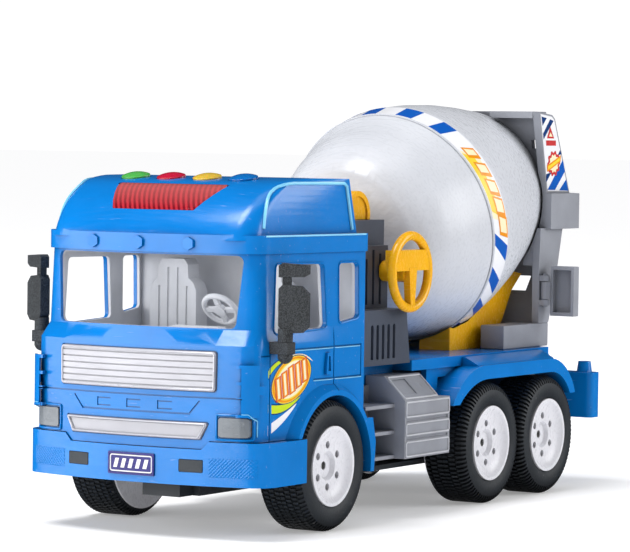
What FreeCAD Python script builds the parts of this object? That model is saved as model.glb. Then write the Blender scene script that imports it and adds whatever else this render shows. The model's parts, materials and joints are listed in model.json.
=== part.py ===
"""Toy cement mixer truck, as an assembly of separate sub-parts.

Millimetres. +Z is up, the truck's front faces -Y, its left side is +X. The origin is on the
ground, in the middle of the truck's length and width. Every sub-part is written to parts/.
"""
import FreeCAD
import Part
import math
import os

V = FreeCAD.Vector
X_AXIS = V(1, 0, 0)
Y_AXIS = V(0, 1, 0)
Z_AXIS = V(0, 0, 1)

# ---- driving dimensions -------------------------------------------------------------------
WALL = 2.0                     # general moulding wall
TOUCH = 0.25                   # gap between separate mouldings
RUN = 0.05                     # radial play of a shaft in its bearing

BODY_HALF = 65.0               # cab half width at the back; it narrows towards the front
CAB_FRONT = -182.0
CAB_REAR = -82.0
CAB_CORNER = 10.0              # plan radius of the cab's front corners
CAB_BOTTOM = 46.0
CAB_TOP = 132.0
WAIST_LOW = 90.0               # the face steps back between these two heights
WAIST_HIGH = 97.0

VISOR_TOP = 140.5
ROOF_HALF = 64.0
ROOF_TAPER = 7.0
ROOF_BOW = 372.0               # plan radius of the roof's front
ROOF_CORNER = 10.5             # plan radius of the roof's front corners
ROOF_CROWN_CORNER = 4.0

BUMPER_HALF = 67.6
BUMPER_FRONT = -183.0
BUMPER_REAR = -137.5
BUMPER_CORNER = 12.0
BUMPER_BOW = 225.0
BUMPER_LOW = 25.3
BUMPER_TOP = 45.7

WHEEL_R = 31.0
TYRE_WIDTH = 25.0
TYRE_OUT = 66.6                # outer face of the tyres
RIM_R = 19.1
AXLE_R = 2.0
AXLE_Z = WHEEL_R
AXLE_Y = {"front": -111.0, "middle": 46.3, "rear": 108.7}
ARCH_R = 33.6
FLARE_X = 67.0                 # outer face of the front wheel flares
FLARE_TOP = 69.6

CHASSIS_HALF = 36.0
CHASSIS_LOW = 20.0
CHASSIS_FLOOR = 22.5
NOSE_LOW = 24.8                # underside of the chassis ahead of the front axle
NOSE_FLOOR = 27.0
KEEL_LOW = 16.5
CHASSIS_FRONT = -172.0
NOSE_REAR = -98.0
CHASSIS_REAR = 171.5

DECK_HALF = 55.0
DECK_FRONT = -18.0
DECK_REAR = 129.5
DECK_UNDER = 70.7
DECK_TOP = 76.0
NECK_HALF = 44.0               # narrow front end of the deck, under the tower
NECK_TOP = 75.0
NECK_UNDER = 65.0
FENDER_IN = 50.0
FENDER_OUT = 66.0

TOWER_FRONT = -66.0
TOWER_REAR = -21.4
TOWER_MID = 102.0
TOWER_SHOULDER = 133.0
TOWER_TOP = 145.5

DRUM_TILT = math.radians(12.5)
DRUM_Y = 54.7                  # centre of the drum's widest edge
DRUM_Z = 139.1
DRUM_EDGE_R = 60.0
SHAFT_R = 4.0
MOUTH_R = 15.9                 # outside of the collar around the drum's mouth
PLATE_S = 89.0                 # front of the rear plate, along the drum's axis
PLATE_THICK = 4.0

CRANK_Y = -29.7
CRANK_R = 3.5
CRANK_WHEEL_X = 60.0
CRANK_RING_R = 17.8
CRANK_TUBE_R = 2.3
BEVEL_DRUM_TEETH = 24
BEVEL_CRANK_TEETH = 12
BEVEL_DRUM_R = 16.0
BEVEL_CRANK_R = BEVEL_DRUM_R * BEVEL_CRANK_TEETH / BEVEL_DRUM_TEETH

SPUR_MODULE = 0.7
SPUR_BIG = 22
SPUR_SMALL = 10
FLYWHEEL_R = 9.2

BUTTON_Y = -137.0
BUTTON_Z = 165.3
BUTTON_TILT = math.radians(10.0)
BUTTON_R = 6.9
BUTTON_X = {"green": -30.5, "red": -10.2, "yellow": 10.2, "blue": 30.5}

DRUM_DIR = V(0, math.cos(DRUM_TILT), math.sin(DRUM_TILT))
DRUM_CENTRE = V(0, DRUM_Y, DRUM_Z)
CRANK_Z = DRUM_Z + (CRANK_Y - DRUM_Y) * math.tan(DRUM_TILT)
APEX = V(0, CRANK_Y, CRANK_Z)
LEFT = 1
RIGHT = -1


# ---- helpers --------------------------------------------------------------------------------
def box(x0, x1, y0, y1, z0, z1):
    """Block between two corners."""
    return Part.makeBox(x1 - x0, y1 - y0, z1 - z0, V(x0, y0, z0))


def cylinder(radius, start, end):
    """Round bar from one point to another."""
    return Part.makeCylinder(radius, (end - start).Length, start, end - start)


def mirrored(shape):
    """The same piece on the truck's other side."""
    return shape.mirror(V(0, 0, 0), X_AXIS)


def both_sides(shape):
    """A piece and its mirror image as one shape."""
    return Part.makeCompound([shape, mirrored(shape)])


def fuse(*shapes):
    """One solid out of several that touch or overlap."""
    return shapes[0].multiFuse(list(shapes[1:])).removeSplitter()


def cut(shape, *tools):
    """The shape with the tools taken away."""
    return shape.cut(list(tools))


def outline(points, radius, place):
    """Closed wire through 2-D points with its corners rounded, put in space by place."""
    edges = []
    ends = []
    count = len(points)
    for i in range(count):
        here = V(*points[i], 0)
        to_last = (V(*points[i - 1], 0) - here).normalize()
        to_next = (V(*points[(i + 1) % count], 0) - here).normalize()
        half = to_last.getAngle(to_next) / 2
        reach = radius / math.tan(half)
        middle = (to_last + to_next).normalize() * (radius / math.sin(half) - radius)
        ends.append((here + to_last * reach, here + middle, here + to_next * reach))
    for i in range(count):
        start, mid, stop = ends[i]
        following = ends[(i + 1) % count][0]
        if radius > 0:
            edges.append(Part.Arc(place(start), place(mid), place(stop)).toShape())
        edges.append(Part.LineSegment(place(stop), place(following)).toShape())
    return Part.Wire(edges)


def prism(points, axis, low, high, radius=0):
    """Outline extruded along an axis: points are (y, z) for x, (x, z) for y, (x, y) for z."""
    places = {
        "x": lambda p: V(low, p.x, p.y),
        "y": lambda p: V(p.x, low, p.y),
        "z": lambda p: V(p.x, p.y, low),
    }
    directions = {"x": X_AXIS, "y": Y_AXIS, "z": Z_AXIS}
    face = Part.Face(outline(points, radius, places[axis]))
    return face.extrude(directions[axis] * (high - low))


def plan_wire(z, half, taper, front, rear, corner, bow):
    """Outline in plan: square back, sides that narrow forwards, rounded corners, bowed front."""
    bow_y = front + bow
    half_front = half - taper
    corner_x = half_front - corner
    corner_y = bow_y - math.sqrt((bow - corner) ** 2 - corner_x ** 2)
    lean = math.atan2(corner_x, bow_y - corner_y)
    half_turn = (lean + math.pi / 2) / 2
    nose = V(0, front, z)
    touch = V(bow * math.sin(lean), bow_y - bow * math.cos(lean), z)
    bend = V(corner_x + corner * math.sin(half_turn), corner_y - corner * math.cos(half_turn), z)
    side = V(half_front, corner_y, z)
    back = V(half, rear, z)
    return Part.Wire([
        Part.Arc(flip(touch), nose, touch).toShape(),
        Part.Arc(touch, bend, side).toShape(),
        Part.LineSegment(side, back).toShape(),
        Part.LineSegment(back, flip(back)).toShape(),
        Part.LineSegment(flip(back), flip(side)).toShape(),
        Part.Arc(flip(side), flip(bend), flip(touch)).toShape(),
    ])


def flip(point):
    """The same point on the truck's other side."""
    return V(-point.x, point.y, point.z)


def plan_loft(levels, inset=0.0):
    """Solid through plan outlines at several heights, drawn in by inset."""
    wires = [
        plan_wire(z, half - inset, taper, front + inset, rear - inset, corner - inset, bow - inset)
        for z, (half, taper, front, rear, corner, bow) in levels
    ]
    return Part.makeLoft(wires, True, True)


def along_drum(s, radius=0.0, angle=0.0):
    """Point at distance s along the drum's axis, out from it by radius at an angle from +X."""
    up = V(0, -math.sin(DRUM_TILT), math.cos(DRUM_TILT))
    return DRUM_CENTRE + DRUM_DIR * s + X_AXIS * radius * math.cos(angle) + up * radius * math.sin(angle)


def turned(points):
    """Solid of revolution about the drum's axis from (s, radius) stations joined by a wire."""
    path = [along_drum(s, r) for s, r in points]
    wire = Part.makePolygon(path + [path[0]])
    return Part.Face(wire).revolve(DRUM_CENTRE, DRUM_DIR, 360)


def spin_profile(points, centre):
    """Solid of revolution about a line along X through centre, from (x, radius) points."""
    path = [centre + V(x, 0, r) for x, r in points]
    return Part.Face(Part.makePolygon(path + [path[0]])).revolve(centre, X_AXIS, 360)


# ---- cab --------------------------------------------------------------------------------------
# plan outlines: half width, taper, front, rear, corner radius, bow radius
LOWER_PLAN = (BODY_HALF, 3.0, CAB_FRONT, CAB_REAR, CAB_CORNER, 233.0)
SCREEN_PLAN_LOW = (BODY_HALF, 4.6, -178.5, CAB_REAR, CAB_CORNER, 175.0)
SCREEN_PLAN_TOP = (BODY_HALF, 5.2, -176.9, CAB_REAR, CAB_CORNER, 172.0)
VISOR_PLAN = (66.5, 5.6, -179.0, -82.6, CAB_CORNER + 1, 172.0)
BUMPER_PLAN = (BUMPER_HALF, 0.0, BUMPER_FRONT, BUMPER_REAR, BUMPER_CORNER, BUMPER_BOW)
CAB_LEVELS = [
    (CAB_BOTTOM, LOWER_PLAN),
    (WAIST_LOW, LOWER_PLAN),
    (WAIST_HIGH, SCREEN_PLAN_LOW),
    (CAB_TOP, SCREEN_PLAN_TOP),
]
SCREEN = [(-49.0, 97.5), (49.0, 97.5), (51.7, 131.0), (-51.7, 131.0)]
DOOR_WINDOW = [(-156.9, 95.2), (-114.4, 96.6), (-117.0, 126.5), (-155.0, 127.0)]
DOOR_REAR = -108.2              # line between the door and the cab's rear side panel
REAR_WINDOW = [(-103.6, 98.4), (-87.4, 100.6), (-88.2, 126.5), (-104.0, 126.5)]


def wheel_bore(name, radius, x0, x1):
    """Cylinder across the truck around one axle."""
    return cylinder(radius, V(x0, AXLE_Y[name], AXLE_Z), V(x1, AXLE_Y[name], AXLE_Z))


def window_cutters():
    """Windscreen and side window openings."""
    return [
        prism(SCREEN, "y", -200.0, -150.0, 3.0),
        prism(DOOR_WINDOW, "x", -80.0, 80.0, 2.5),
        prism(REAR_WINDOW, "x", -80.0, 80.0, 2.5),
    ]


def fender_lip():
    """Flare that stands out round the front wheel arch, with its trailing leg, left side."""
    inner_x = 62.0
    flare = Part.makeCone(41.0, 36.2, FLARE_X - inner_x, V(inner_x, AXLE_Y["front"], AXLE_Z), X_AXIS)
    liner = wheel_bore("front", ARCH_R + 2.0, 50.0, FLARE_X)
    below = box(40, 80, -200, -60, -20, CAB_BOTTOM)
    above = box(40, 80, -200, -60, FLARE_TOP, 100)
    leg = prism([(-82.0, 26.0), (-74.5, 26.0), (-73.0, 40.0), (-76.0, 52.0), (-82.0, 52.0)], "x",
                50.0, FLARE_X)
    hollow = wheel_bore("front", ARCH_R, 40, 80)
    return cut(fuse(cut(fuse(flare, liner), below, above), leg), hollow)


def seam_lines():
    """Engraved lines: rear edge of the doors, side panel borders and the line across the face."""
    deep = 0.6
    wide = 0.7
    inside = plan_loft([(CAB_BOTTOM, LOWER_PLAN), (CAB_TOP, LOWER_PLAN)], deep)
    door = box(50, 80, DOOR_REAR - wide, DOOR_REAR, FLARE_TOP - 3, CAB_TOP + 1)
    front_edge = box(50, 80, -162.6, -162.6 + wide, CAB_BOTTOM, CAB_TOP + 1)
    across = [box(50, 80, y0, y1, z, z + wide) for y0, y1, z in
              ((-142.0, -84.5, 87.2), (-126.0, -84.5, 72.4), (-169.0, -162.6, 85.0))]
    end = box(50, 80, -84.5 - wide, -84.5, 72.4, 87.2 + wide)
    side = cut(fuse(door, front_edge, end, *across), inside)
    face = cut(box(-57, 57, -200, -160, 65.6, 65.6 + wide), inside)
    return [side, mirrored(side), face, *badge_lines(inside)]


def stroke(points, wide, inside):
    """Engraved line of a given width through (x, z) points on the cab's face."""
    runs = []
    for (x0, z0), (x1, z1) in zip(points, points[1:]):
        run = math.hypot(x1 - x0, z1 - z0)
        dx = (x1 - x0) / run * wide / 2
        dz = (z1 - z0) / run * wide / 2
        corners = [(x0 - dx + dz, z0 - dz - dx), (x1 + dx + dz, z1 + dz - dx),
                   (x1 + dx - dz, z1 + dz + dx), (x0 - dx - dz, z0 - dz + dx)]
        runs.append(prism(corners, "y", -200.0, -160.0))
    return cut(fuse(*runs), inside)


def badge_lines(inside):
    """Trapezium outline with three open brackets, engraved between the two grilles."""
    frame = stroke([(-34.7, 64.0), (-29.8, 58.2), (29.8, 58.2), (34.7, 64.0)], 0.8, inside)
    marks = [stroke([(x + 3.6, 63.4), (x - 3.6, 63.4), (x - 3.6, 60.0), (x + 3.6, 60.0)], 0.6, inside)
             for x in (-17.0, 0.0, 17.0)]
    return [frame, *marks]


def door_handle():
    """Narrow raised grip near the rear edge of the left door."""
    outer = prism([(-117.0, 74.6), (-111.2, 74.6), (-112.4, 84.8), (-115.8, 84.8)], "x", 62.0, 65.2, 0.5)
    slot = prism([(-115.5, 76.2), (-112.8, 76.2), (-113.4, 83.2), (-114.8, 83.2)], "x", 64.4, 66.0)
    return cut(outer, slot)


def corner_vane():
    """Upright air vane that stands off the left front corner on four small arms."""
    z0 = 57.5
    z1 = 81.5
    vane = cut(plan_loft([(z0, LOWER_PLAN), (z1, LOWER_PLAN)], -3.0),
               plan_loft([(z0 - 1, LOWER_PLAN), (z1 + 1, LOWER_PLAN)], -1.7))
    vane = vane.common(prism([(56.6, -190), (80, -190), (80, -168.6), (56.6, -174)], "z", z0, z1))
    root = cut(plan_loft([(z0, LOWER_PLAN), (z1, LOWER_PLAN)], -3.0), plan_loft(CAB_LEVELS, 0.5))
    arms = [box(54.2, 57.6, -190, -165, z, z + 1.5) for z in (z0, 65.4, 72.4, z1 - 1.5)]
    arms.append(box(59.6, 70, -190, -169.0, 68.0, 72.0))
    return fuse(vane, *[root.common(arm) for arm in arms])


def grown(points, margin):
    """Outline of a convex patch moved out by a margin along x and z."""
    mid_x = sum(x for x, _ in points) / len(points)
    mid_z = sum(z for _, z in points) / len(points)
    return [(x + math.copysign(margin, x - mid_x), z + math.copysign(margin, z - mid_z))
            for x, z in points]


GRILLE = [(-43.0, 68.9), (43.0, 68.9), (43.2, 87.1), (-43.2, 87.1)]
LOWER_GRILLE = [(-35.6, 46.7), (35.6, 46.7), (39.6, 54.3), (-39.6, 54.3)]
HEADLAMP = [(44.8, 48.2), (59.0, 48.2), (59.0, 57.0), (44.8, 57.0)]
SUNK = 0.7                     # depth of the seats that the front trim sits in
DIP_Z = 42.0                   # bottom of the dip in the bumper's top edge


def cab_shell():
    """Blue cab body: hollow, open below and on top, with windows, arches and a back wall."""
    outer = plan_loft(CAB_LEVELS)
    over = [(CAB_BOTTOM - 5, LOWER_PLAN), *CAB_LEVELS[1:3], (CAB_TOP + 0.01, SCREEN_PLAN_TOP)]
    shell = cut(outer, plan_loft(over, WALL))
    extras = [fender_lip(), door_handle(), corner_vane()]
    extras += [mirrored(extra) for extra in extras]
    chin = cut(plan_loft([(DIP_Z + TOUCH, LOWER_PLAN), (CAB_BOTTOM + 1, LOWER_PLAN)]),
               plan_loft([(DIP_Z - 1, LOWER_PLAN), (CAB_BOTTOM + 2, LOWER_PLAN)], WALL))
    chin = chin.common(prism([(-36.2, DIP_Z + TOUCH), (36.2, DIP_Z + TOUCH), (41.2, CAB_BOTTOM + 1),
                              (-41.2, CAB_BOTTOM + 1)], "y", -200.0, -150.0))
    seats_cut = [face_patch(grown(points, 0.5), 5.0, radius, -SUNK)
                 for points, radius in ((GRILLE, 1.5), (LOWER_GRILLE, 0.8), (HEADLAMP, 1.2))]
    seats_cut.append(mirrored(seats_cut[-1]))
    shell = cut(fuse(shell, chin, *extras), *seam_lines(), *seats_cut)
    room = box(-CHASSIS_HALF - TOUCH, CHASSIS_HALF + TOUCH, -90, -80, 40, 62.0 + TOUCH)
    return cut(shell, room, wheel_bore("front", ARCH_R, -80, 80), *window_cutters())


MIRROR_STEM = V(68.6, -159.7, 0)
MIRROR_SWEEP = 28.0            # degrees that the heads are turned back at rest


def mirror_brackets():
    """Dark brackets on the cab corners that hold the mirror stems."""
    x = MIRROR_STEM.x
    y = MIRROR_STEM.y
    arm = box(58.0, x + 3.4, y - 3.4, y + 3.4, 86.4, 91.9)
    hole = cylinder(2.0 + RUN, V(x, y, 80), V(x, y, 100))
    bracket = cut(arm, hole, plan_loft(CAB_LEVELS), plan_loft([(80, LOWER_PLAN), (95, LOWER_PLAN)]))
    return both_sides(bracket)


def mirror(side):
    """Door mirror: stem, big lower head and small upper head, moulded in one."""
    stem = cylinder(2.0, V(0, 0, 84.0), V(0, 0, 94.0))
    foot = fuse(cylinder(3.5, V(0, 0, 84.4), V(0, 0, 86.25)),
                Part.makeSphere(3.5, V(0, 0, 85.4)).common(box(-5, 5, -5, 5, 80, 85.4)))
    stop = cylinder(3.5, V(0, 0, 92.05), V(0, 0, 98.0))
    lower = prism([(-3.3, 99.5), (-0.6, 96.0), (8.4, 96.4), (11.1, 99.0), (11.1, 114.2), (7.6, 117.6),
                   (-1.4, 118.4), (-3.3, 116.4)], "y", -2.5, 2.5)
    neck = box(-1.6, 2.6, -1.6, 1.6, 117.5, 122.5)
    upper = prism([(-3.3, 121.7), (8.6, 121.9), (11.1, 123.4), (11.1, 127.4), (-1.6, 128.2),
                   (-3.3, 127.0)], "y", -2.5, 2.0)
    shape = placed(fuse(stem, foot, stop, lower, neck, upper),
                   FreeCAD.Placement(MIRROR_STEM, FreeCAD.Rotation(Z_AXIS, MIRROR_SWEEP)))
    return shape if side == LEFT else mirrored(shape)


ROOF_CURVE = [(-176.2, 138.0), (-175.0, 141.5), (-173.7, 144.2), (-172.0, 146.8), (-170.1, 149.4),
              (-167.8, 152.0), (-164.3, 155.3), (-160.0, 158.4), (-155.4, 161.1), (-150.5, 163.3),
              (-146.0, 164.6), (-141.5, 165.4), (-135.5, 166.05), (-130.0, 166.4)]


def roof_dome(inset=0.0):
    """Solid roof above the visor, lofted through plan outlines and drawn in by inset."""
    low_z = ROOF_CURVE[0][1]
    last = len(ROOF_CURVE) - 1
    levels = []
    for i, (y, z) in enumerate(ROOF_CURVE):
        y0, z0 = ROOF_CURVE[max(i - 1, 0)]
        y1, z1 = ROOF_CURVE[min(i + 1, last)]
        run = math.hypot(y1 - y0, z1 - z0)
        levels.append((y + inset * (z1 - z0) / run, z - inset * (y1 - y0) / run, i / last))
    if inset > 0:
        levels.insert(0, (levels[0][0] - 0.1, low_z - inset, 0.0))
    wires = []
    for y, z, share in levels:
        corner = ROOF_CORNER + (ROOF_CROWN_CORNER - ROOF_CORNER) * share ** 3
        rear = -88.2 - (z - low_z) * 0.29 - inset
        wires.append(plan_wire(z, ROOF_HALF - inset, ROOF_TAPER, y, rear, max(corner - inset, 0.8), ROOF_BOW))
    return Part.makeLoft(wires, True, True)


def lens_outline(grow=0.0):
    """Trapezium of the roof lens, seen from the front."""
    top = 31.0 + grow
    low = 22.5 + grow
    points = [(-low, 151.4 - grow), (low, 151.4 - grow), (top, 163.1 + grow), (-top, 163.1 + grow)]
    return prism(points, "y", -185.0, -147.0, 0.8)


def button_frame(x):
    """Placement of one button: its own z points out of the sloping roof."""
    tilt = FreeCAD.Rotation(X_AXIS, math.degrees(BUTTON_TILT))
    return FreeCAD.Placement(V(x, BUTTON_Y, BUTTON_Z), tilt)


def placed(shape, placement):
    """A copy of the shape moved to a placement."""
    moved = shape.copy()
    moved.Placement = placement
    return moved


def button(name):
    """Domed key with a retaining flange and a stem that presses the key pad."""
    cap = cylinder(BUTTON_R, V(0, 0, -3.6), V(0, 0, 1.0))
    ball_r = 16.5
    ball = Part.makeSphere(ball_r, V(0, 0, 3.0 - ball_r))
    dome = ball.common(cylinder(BUTTON_R, V(0, 0, 0.0), V(0, 0, 4.0)))
    flange = cylinder(8.2, V(0, 0, -4.0), V(0, 0, -2.5))
    stem = cylinder(2.0, V(0, 0, -7.0), V(0, 0, -3.5))
    return placed(fuse(cap, dome, flange, stem), button_frame(BUTTON_X[name]))


def button_holes(radius, low, high):
    """Cylinders through the roof at the four buttons."""
    bar = cylinder(radius, V(0, 0, low), V(0, 0, high))
    return [placed(bar, button_frame(x)) for x in BUTTON_X.values()]


def bow_front(x, plan):
    """Distance along Y of a bowed front at x."""
    front = plan[2]
    bow = plan[5]
    return front + bow - math.sqrt(bow ** 2 - x ** 2)


def visor_bump(x):
    """Small hexagonal lamp bump on the visor band."""
    points = [(x + 3.1 * math.cos(a), 136.3 + 3.1 * math.sin(a))
              for a in [math.radians(60 * k + 30) for k in range(6)]]
    front = bow_front(x, VISOR_PLAN)
    return prism(points, "y", front - 1.4, front + 1.5)


def cab_roof():
    """Blue roof: visor band, hollow dome, lens opening, button holes and board posts."""
    visor = plan_loft([(CAB_TOP, VISOR_PLAN), (VISOR_TOP, VISOR_PLAN)])
    hollow = plan_loft([(CAB_TOP - 1, (60.0, 3.0, -168.0, -93.0, 6.0, 172.0)),
                        (VISOR_TOP + 1, (60.0, 3.0, -168.0, -93.0, 6.0, 172.0))])
    bumps = [visor_bump(x) for x in (-26.6, 0.0, 26.6)]
    dome = roof_dome()
    shell = cut(fuse(visor, dome, *bumps), hollow, roof_dome(WALL), lens_outline(0.12))
    post = cylinder(2.2, V(0, 0, -9.5), V(0, 0, -1.0))
    posts = [placed(post, button_frame(x)).common(dome) for x in (-45.0, 0.0, 45.0)]
    shell = fuse(shell, *posts)
    return cut(shell, *button_holes(BUTTON_R + 0.3, -3.2, 6.0), *button_holes(8.6, -7.2, -2.2))


def roof_lens():
    """Red lens flush with the roof's front slope, with a retaining flange behind."""
    thick = WALL + 1.4
    flush = cut(roof_dome().common(lens_outline()), roof_dome(thick))
    flange = cut(roof_dome(WALL + 0.05).common(lens_outline(1.6)), roof_dome(thick))
    return fuse(flush, flange)


def key_pad():
    """Soft pad under the keys, with one pressed-height dome for each."""
    pad = box(-40.0, 40.0, -9.0, 9.0, -10.6, -9.6)
    frame = button_frame(0.0)
    domes = [Part.makeCone(3.4, 2.6, 1.2, V(x, 0, -9.7)) for x in BUTTON_X.values()]
    post_room = cylinder(2.25, V(0, 0, -12), V(0, 0, -5))
    return placed(cut(fuse(pad, *domes), post_room), frame)


def sound_board():
    """Circuit board under the key pad, with its chip and the two roof lamps."""
    board = box(-48.0, 48.0, -10.0, 12.0, -12.2, -10.6)
    chip = box(-7.0, 7.0, -6.0, 4.0, -14.0, -12.0)
    lamps = [cylinder(2.4, V(x, -9.8, -11.4), V(x, -15.0, -11.4)) for x in (-14.0, 14.0)]
    return placed(fuse(board, chip, *lamps), button_frame(0.0))


WHEEL_SPOT = V(21.5, -141.5, 104.5)   # centre of the steering wheel


def cab_interior():
    """Light liner inside the cab: walls with window openings, floor, dashboard and ceiling."""
    low = 68.5
    high = CAB_TOP - 0.4
    gap = WALL + 0.1
    levels = [(low, LOWER_PLAN), *CAB_LEVELS[1:3], (high, SCREEN_PLAN_TOP)]
    outer = plan_loft(levels, gap)
    hollow = cut(plan_loft(levels, gap + 1.5), box(-80, 80, -200, -60, low - 1, low + 2.0),
                 box(-80, 80, -200, -60, high - 1.6, high + 1))
    dash_top = box(-80, 80, -200, -153.0, 93.5, 95.5)
    dash_face = box(-80, 80, -155.0, -153.0, low, 95.5)
    column = cylinder(2.2, V(WHEEL_SPOT.x, -154, 93.5), WHEEL_SPOT - V(0, 1.2, 1.0))
    binnacle = prism([(-163.0, 95.0), (-150.5, 95.0), (-151.5, 98.5), (-156.0, 101.0), (-163.0, 101.0)],
                     "x", 8.0, 34.0, 0.6)
    liner = fuse(cut(outer, cut(hollow, dash_top, dash_face)), column, binnacle)
    flare_room = wheel_bore("front", ARCH_R + 7.7, 55.0, 80.0)
    return cut(liner, *window_cutters(), wheel_bore("front", ARCH_R + 5.2, -80, 80), flare_room,
               mirrored(flare_room))


SEAT_X = 26.5


def seat(x):
    """Ribbed seat: cushion, tapering back and head rest."""
    base = prism([(x - 13, -130), (x + 13, -130), (x + 13, -98), (x - 13, -98)], "z", 70.5, 88.0, 3)
    half = [(13.4, 84), (13.4, 111), (11.8, 114.6), (8.8, 117.0), (8.4, 123.5), (6.2, 126.3)]
    points = [(x + dx, z) for dx, z in half] + [(x - dx, z) for dx, z in reversed(half)]
    back = prism(points, "y", -110.0, -100.0)
    ribs = [box(x + dx - 0.5, x + dx + 0.5, -111.0, -109.3, 88.5, top)
            for dx, top in ((-8, 113.0), (-2.8, 122.0), (2.8, 122.0), (8, 113.0))]
    return cut(fuse(base, back), *ribs)


def seats():
    """The two seats, side by side."""
    return Part.makeCompound([seat(-SEAT_X), seat(SEAT_X)])


def steering_wheel():
    """Small fixed steering wheel on the dashboard's column."""
    centre = WHEEL_SPOT
    axis = V(0, 0.75, 0.66)
    ring = Part.makeTorus(8.5, 1.3, centre, axis)
    hub = cylinder(3.0, centre - axis * 1.6, centre + axis * 0.8)
    bar = box(-8.4, 8.4, -1.2, 1.2, -0.9, 0.7)
    turn = FreeCAD.Placement(centre, FreeCAD.Rotation(Z_AXIS, axis))
    cross = [placed(bar, turn * FreeCAD.Placement(V(0, 0, 0), FreeCAD.Rotation(Z_AXIS, a)))
             for a in (0, 90)]
    return fuse(ring, hub, *cross)


# ---- front trim -------------------------------------------------------------------------------
def face_patch(points, proud, radius=0.0, base=0.0):
    """Plate on the cab's bowed face between two heights over it, base and proud."""
    top = max(z for _, z in points) + 1
    low = min(z for _, z in points) - 1
    skin = cut(plan_loft([(low, LOWER_PLAN), (top, LOWER_PLAN)], -proud),
               plan_loft([(low - 1, LOWER_PLAN), (top + 1, LOWER_PLAN)], -base))
    return skin.common(prism(points, "y", -200.0, -150.0, radius))


def front_grille():
    """Silver panel with six louvres."""
    plate = face_patch(GRILLE, 1.0, 1.5, -SUNK)
    step = 2.9
    grooves = [box(-41.8, 41.8, -185.0, -165.0, 70.4 + k * step, 70.9 + k * step) for k in range(6)]
    skin = face_patch([(-50, 66), (50, 66), (50, 90), (-50, 90)], 0.4, 0.0, -3.0)
    return cut(plate, *[cut(groove, skin) for groove in grooves])


def lower_grille():
    """Silver trapezium of mesh with a raised rim."""
    plate = face_patch(LOWER_GRILLE, 1.0, 0.8, -SUNK)
    field = [(-34.2, 47.8), (34.2, 47.8), (37.4, 53.2), (-37.4, 53.2)]
    return cut(plate, face_patch(field, 3.0, 0.0, 0.3))


def headlamps():
    """Two headlamps that wrap a little round the corners."""
    return both_sides(face_patch(HEADLAMP, 1.0, 1.2, -SUNK))


def bumper_block(inset=0.0, low=BUMPER_LOW, top=BUMPER_TOP):
    """Solid bumper outline between two heights."""
    return plan_loft([(low, BUMPER_PLAN), (top, BUMPER_PLAN)], inset)


def bumper_patch(points, outer, inner, radius=0.0):
    """Piece of the bumper's bowed skin between two offsets, with the given outline."""
    skin = cut(bumper_block(-outer), bumper_block(-inner, BUMPER_LOW - 1, BUMPER_TOP + 1))
    return skin.common(prism(points, "y", -200.0, -150.0, radius))


FOG = [(25.5, 31.6), (37.2, 31.6), (37.2, 37.0), (25.5, 37.0)]
PLATE = [(-12.8, 28.6), (12.8, 28.6), (12.8, 38.9), (-12.8, 38.9)]


def front_bumper():
    """Blue bumper shell with fog lamp seats and a dip in the middle of its top edge."""
    hollow = bumper_block(WALL, BUMPER_LOW - 1, BUMPER_TOP - WALL)
    behind = box(-BUMPER_HALF + 1.3, BUMPER_HALF - 1.3, -150.0, BUMPER_REAR + 5, 0, BUMPER_TOP - WALL)
    centre = box(-CHASSIS_HALF - 0.3, CHASSIS_HALF + 0.3, CHASSIS_FRONT - 0.3, -130.0, 0, 60)
    dip = prism([(-36.5, DIP_Z), (36.5, DIP_Z), (41.5, 47.0), (-41.5, 47.0)], "y", -190.0, -130.0)
    seat_cut = bumper_patch([(25.2, 31.3), (37.5, 31.3), (37.5, 37.3), (25.2, 37.3)], 1.0, -1.2, 0.6)
    tyre_room = wheel_bore("front", WHEEL_R + 2.0, -BUMPER_HALF + 1.3, BUMPER_HALF - 1.3)
    return cut(bumper_block(), hollow, behind, centre, dip, seat_cut, mirrored(seat_cut), tyre_room)


def fog_lamps():
    """Two dark fog lamps with a slot each."""
    lamp = bumper_patch(FOG, 0.2, -1.2, 0.5)
    slot = box(28.0, 35.0, -190, -183.0, 33.9, 34.7)
    return both_sides(cut(lamp, slot))


def number_plate():
    """Blank plate with a raised rim."""
    rim = bumper_patch(PLATE, 0.9, 0.0, 0.6)
    field = [(x * 0.93, 33.75 + (z - 33.75) * 0.84) for x, z in PLATE]
    return cut(rim, bumper_patch(field, 2.0, 0.5, 0.4))


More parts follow.
